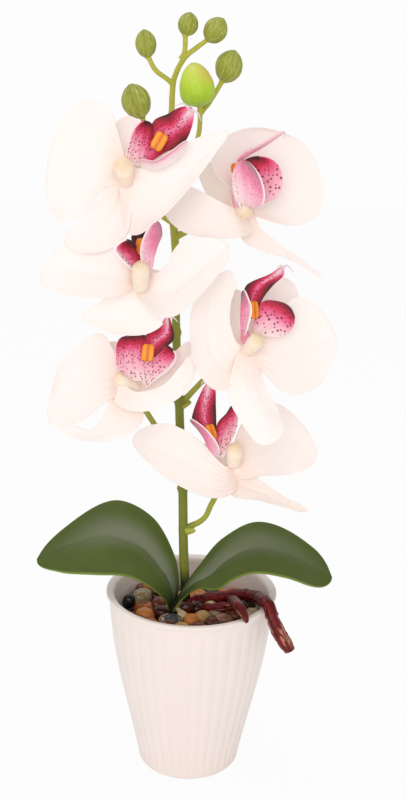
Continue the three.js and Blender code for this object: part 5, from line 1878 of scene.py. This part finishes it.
def make_floor():
    """A wide round floor."""
    mesh = bpy.data.meshes.new("studio_floor")
    angles = [2 * math.pi * k / FLOOR_SIDES for k in range(FLOOR_SIDES)]
    ring = [(FLOOR_RADIUS * math.cos(a), FLOOR_RADIUS * math.sin(a), 0) for a in angles]
    mesh.from_pydata(ring, [], [range(FLOOR_SIDES)])
    mesh.materials.append(floor_finish())
    linked("studio_floor", mesh)


def make_world():
    """A white studio: the backdrop stays plain white and the room gives an even light."""
    world = bpy.data.worlds.new("studio")
    world.use_nodes = True
    bpy.context.scene.world = world
    nodes = Tree(world.node_tree)
    background = world.node_tree.nodes["Background"].inputs
    seen = nodes.node("ShaderNodeLightPath").outputs["Is Camera Ray"]
    gain = nodes.times(seen, WORLD["backdrop"] - WORLD["light"])
    background["Color"].default_value = (1.0, 1.0, 1.0, 1.0)
    nodes.feed(background["Strength"], nodes.maths("ADD", gain, WORLD["light"]))


def make_panels():
    """The soft lights."""
    for name, (place, size, power) in PANELS.items():
        data = bpy.data.lights.new(name, "AREA")
        data.shape = "DISK"
        data.size = size
        data.energy = power
        light = bpy.data.objects.new(name, data)
        bpy.context.scene.collection.objects.link(light)
        aim = Vector(AIM) - Vector(place)
        light.matrix_world = Matrix.Translation(place) @ aim.to_track_quat("-Z", "Y").to_matrix().to_4x4()


# ---------------------------------------------------------------- operators and panel


class OrchidOperator:
    """What the operators share: each is one step that can be undone."""

    bl_options = {"REGISTER", "UNDO"}


class ORCHID_OT_pot(OrchidOperator, bpy.types.Operator):
    """Make the fluted pot"""

    bl_idname = "orchid.pot"
    bl_label = "Pot"

    def execute(self, context):
        make_pot()
        return {"FINISHED"}


class ORCHID_OT_pebbles(OrchidOperator, bpy.types.Operator):
    """Fill the pot with glossy pebbles"""

    bl_idname = "orchid.pebbles"
    bl_label = "Pebbles"

    def execute(self, context):
        make_pebbles()
        return {"FINISHED"}


class ORCHID_OT_stem(OrchidOperator, bpy.types.Operator):
    """Make the flower stem with its stalks and bracts"""

    bl_idname = "orchid.stem"
    bl_label = "Flower stem"

    def execute(self, context):
        make_stem()
        return {"FINISHED"}


class ORCHID_OT_leaves(OrchidOperator, bpy.types.Operator):
    """Make the two broad leaves"""

    bl_idname = "orchid.leaves"
    bl_label = "Leaves"

    def execute(self, context):
        material = leaf_finish()
        for row in LEAVES:
            make_leaf(row, material)
        return {"FINISHED"}


class ORCHID_OT_root(OrchidOperator, bpy.types.Operator):
    """Make the aerial root that hooks over the rim"""

    bl_idname = "orchid.root"
    bl_label = "Aerial root"

    def execute(self, context):
        make_root()
        return {"FINISHED"}


class ORCHID_OT_buds(OrchidOperator, bpy.types.Operator):
    """Make the six buds"""

    bl_idname = "orchid.buds"
    bl_label = "Buds"

    def execute(self, context):
        dull, fresh = bud_finish(), fresh_bud_finish()
        for seed, row in enumerate(BUDS):
            make_bud(row, fresh if row.get("fresh") else dull, seed)
        return {"FINISHED"}


class ORCHID_OT_petals(OrchidOperator, bpy.types.Operator):
    """Make the cloth petals and sepals of the six blooms"""

    bl_idname = "orchid.petals"
    bl_label = "Petals"

    def execute(self, context):
        material = petal_finish()
        for number, bloom in enumerate(BLOOMS, 1):
            make_tepals(number, bloom, material)
        return {"FINISHED"}


class ORCHID_OT_lips(OrchidOperator, bpy.types.Operator):
    """Make the printed lips and their whiskers"""

    bl_idname = "orchid.lips"
    bl_label = "Lips"

    def execute(self, context):
        material, pale, tree = lip_finish(), whisker_finish(), tube_tree()
        for number, bloom in enumerate(BLOOMS, 1):
            make_lip(number, bloom, material)
            if bloom["whiskers"]:
                make_whiskers(number, bloom, pale, tree)
        return {"FINISHED"}


class ORCHID_OT_columns(OrchidOperator, bpy.types.Operator):
    """Make the cream column and the orange callus of each bloom"""

    bl_idname = "orchid.columns"
    bl_label = "Columns"

    def execute(self, context):
        cream, orange = column_finish(), callus_finish()
        for number, bloom in enumerate(BLOOMS, 1):
            make_column(number, bloom, cream)
            make_callus(number, bloom, orange)
        return {"FINISHED"}


class ORCHID_OT_stage(OrchidOperator, bpy.types.Operator):
    """Make the floor, the white room, the soft lights and the camera"""

    bl_idname = "orchid.stage"
    bl_label = "Stage"

    def execute(self, context):
        context.scene.view_settings.view_transform = "Standard"
        make_camera()
        make_floor()
        make_world()
        make_panels()
        return {"FINISHED"}


OPERATORS = (
    ORCHID_OT_stage, ORCHID_OT_pot, ORCHID_OT_pebbles, ORCHID_OT_stem, ORCHID_OT_leaves, ORCHID_OT_root,
    ORCHID_OT_buds, ORCHID_OT_petals, ORCHID_OT_lips, ORCHID_OT_columns,
)


class ORCHID_PT_panel(bpy.types.Panel):
    """Sizes, colours and a button for each group of pieces"""

    bl_idname = "ORCHID_PT_panel"
    bl_label = "Potted orchid"
    bl_space_type = "VIEW_3D"
    bl_region_type = "UI"
    bl_category = "Orchid"

    def draw(self, context):
        for operator in OPERATORS:
            self.layout.operator(operator.bl_idname)
        for group in (context.scene.orchid_sizes, context.scene.orchid_colours):
            box = self.layout.box()
            for name in group.__annotations__:
                box.prop(group, name)


CLASSES = (OrchidSizes, OrchidColours, *OPERATORS, ORCHID_PT_panel)


def register():
    """Adds the classes, sizes and colours to Blender."""
    for cls in CLASSES:
        bpy.utils.register_class(cls)
    bpy.types.Scene.orchid_sizes = PointerProperty(type=OrchidSizes)
    bpy.types.Scene.orchid_colours = PointerProperty(type=OrchidColours)


def unregister():
    """Takes out again what register adds."""
    del bpy.types.Scene.orchid_colours
    del bpy.types.Scene.orchid_sizes
    for cls in reversed(CLASSES):
        bpy.utils.unregister_class(cls)


def main():
    """Makes every piece in order."""
    register()
    for operator in OPERATORS:
        group, name = operator.bl_idname.split(".")
        getattr(getattr(bpy.ops, group), name)()


if __name__ == "__main__":
    main()
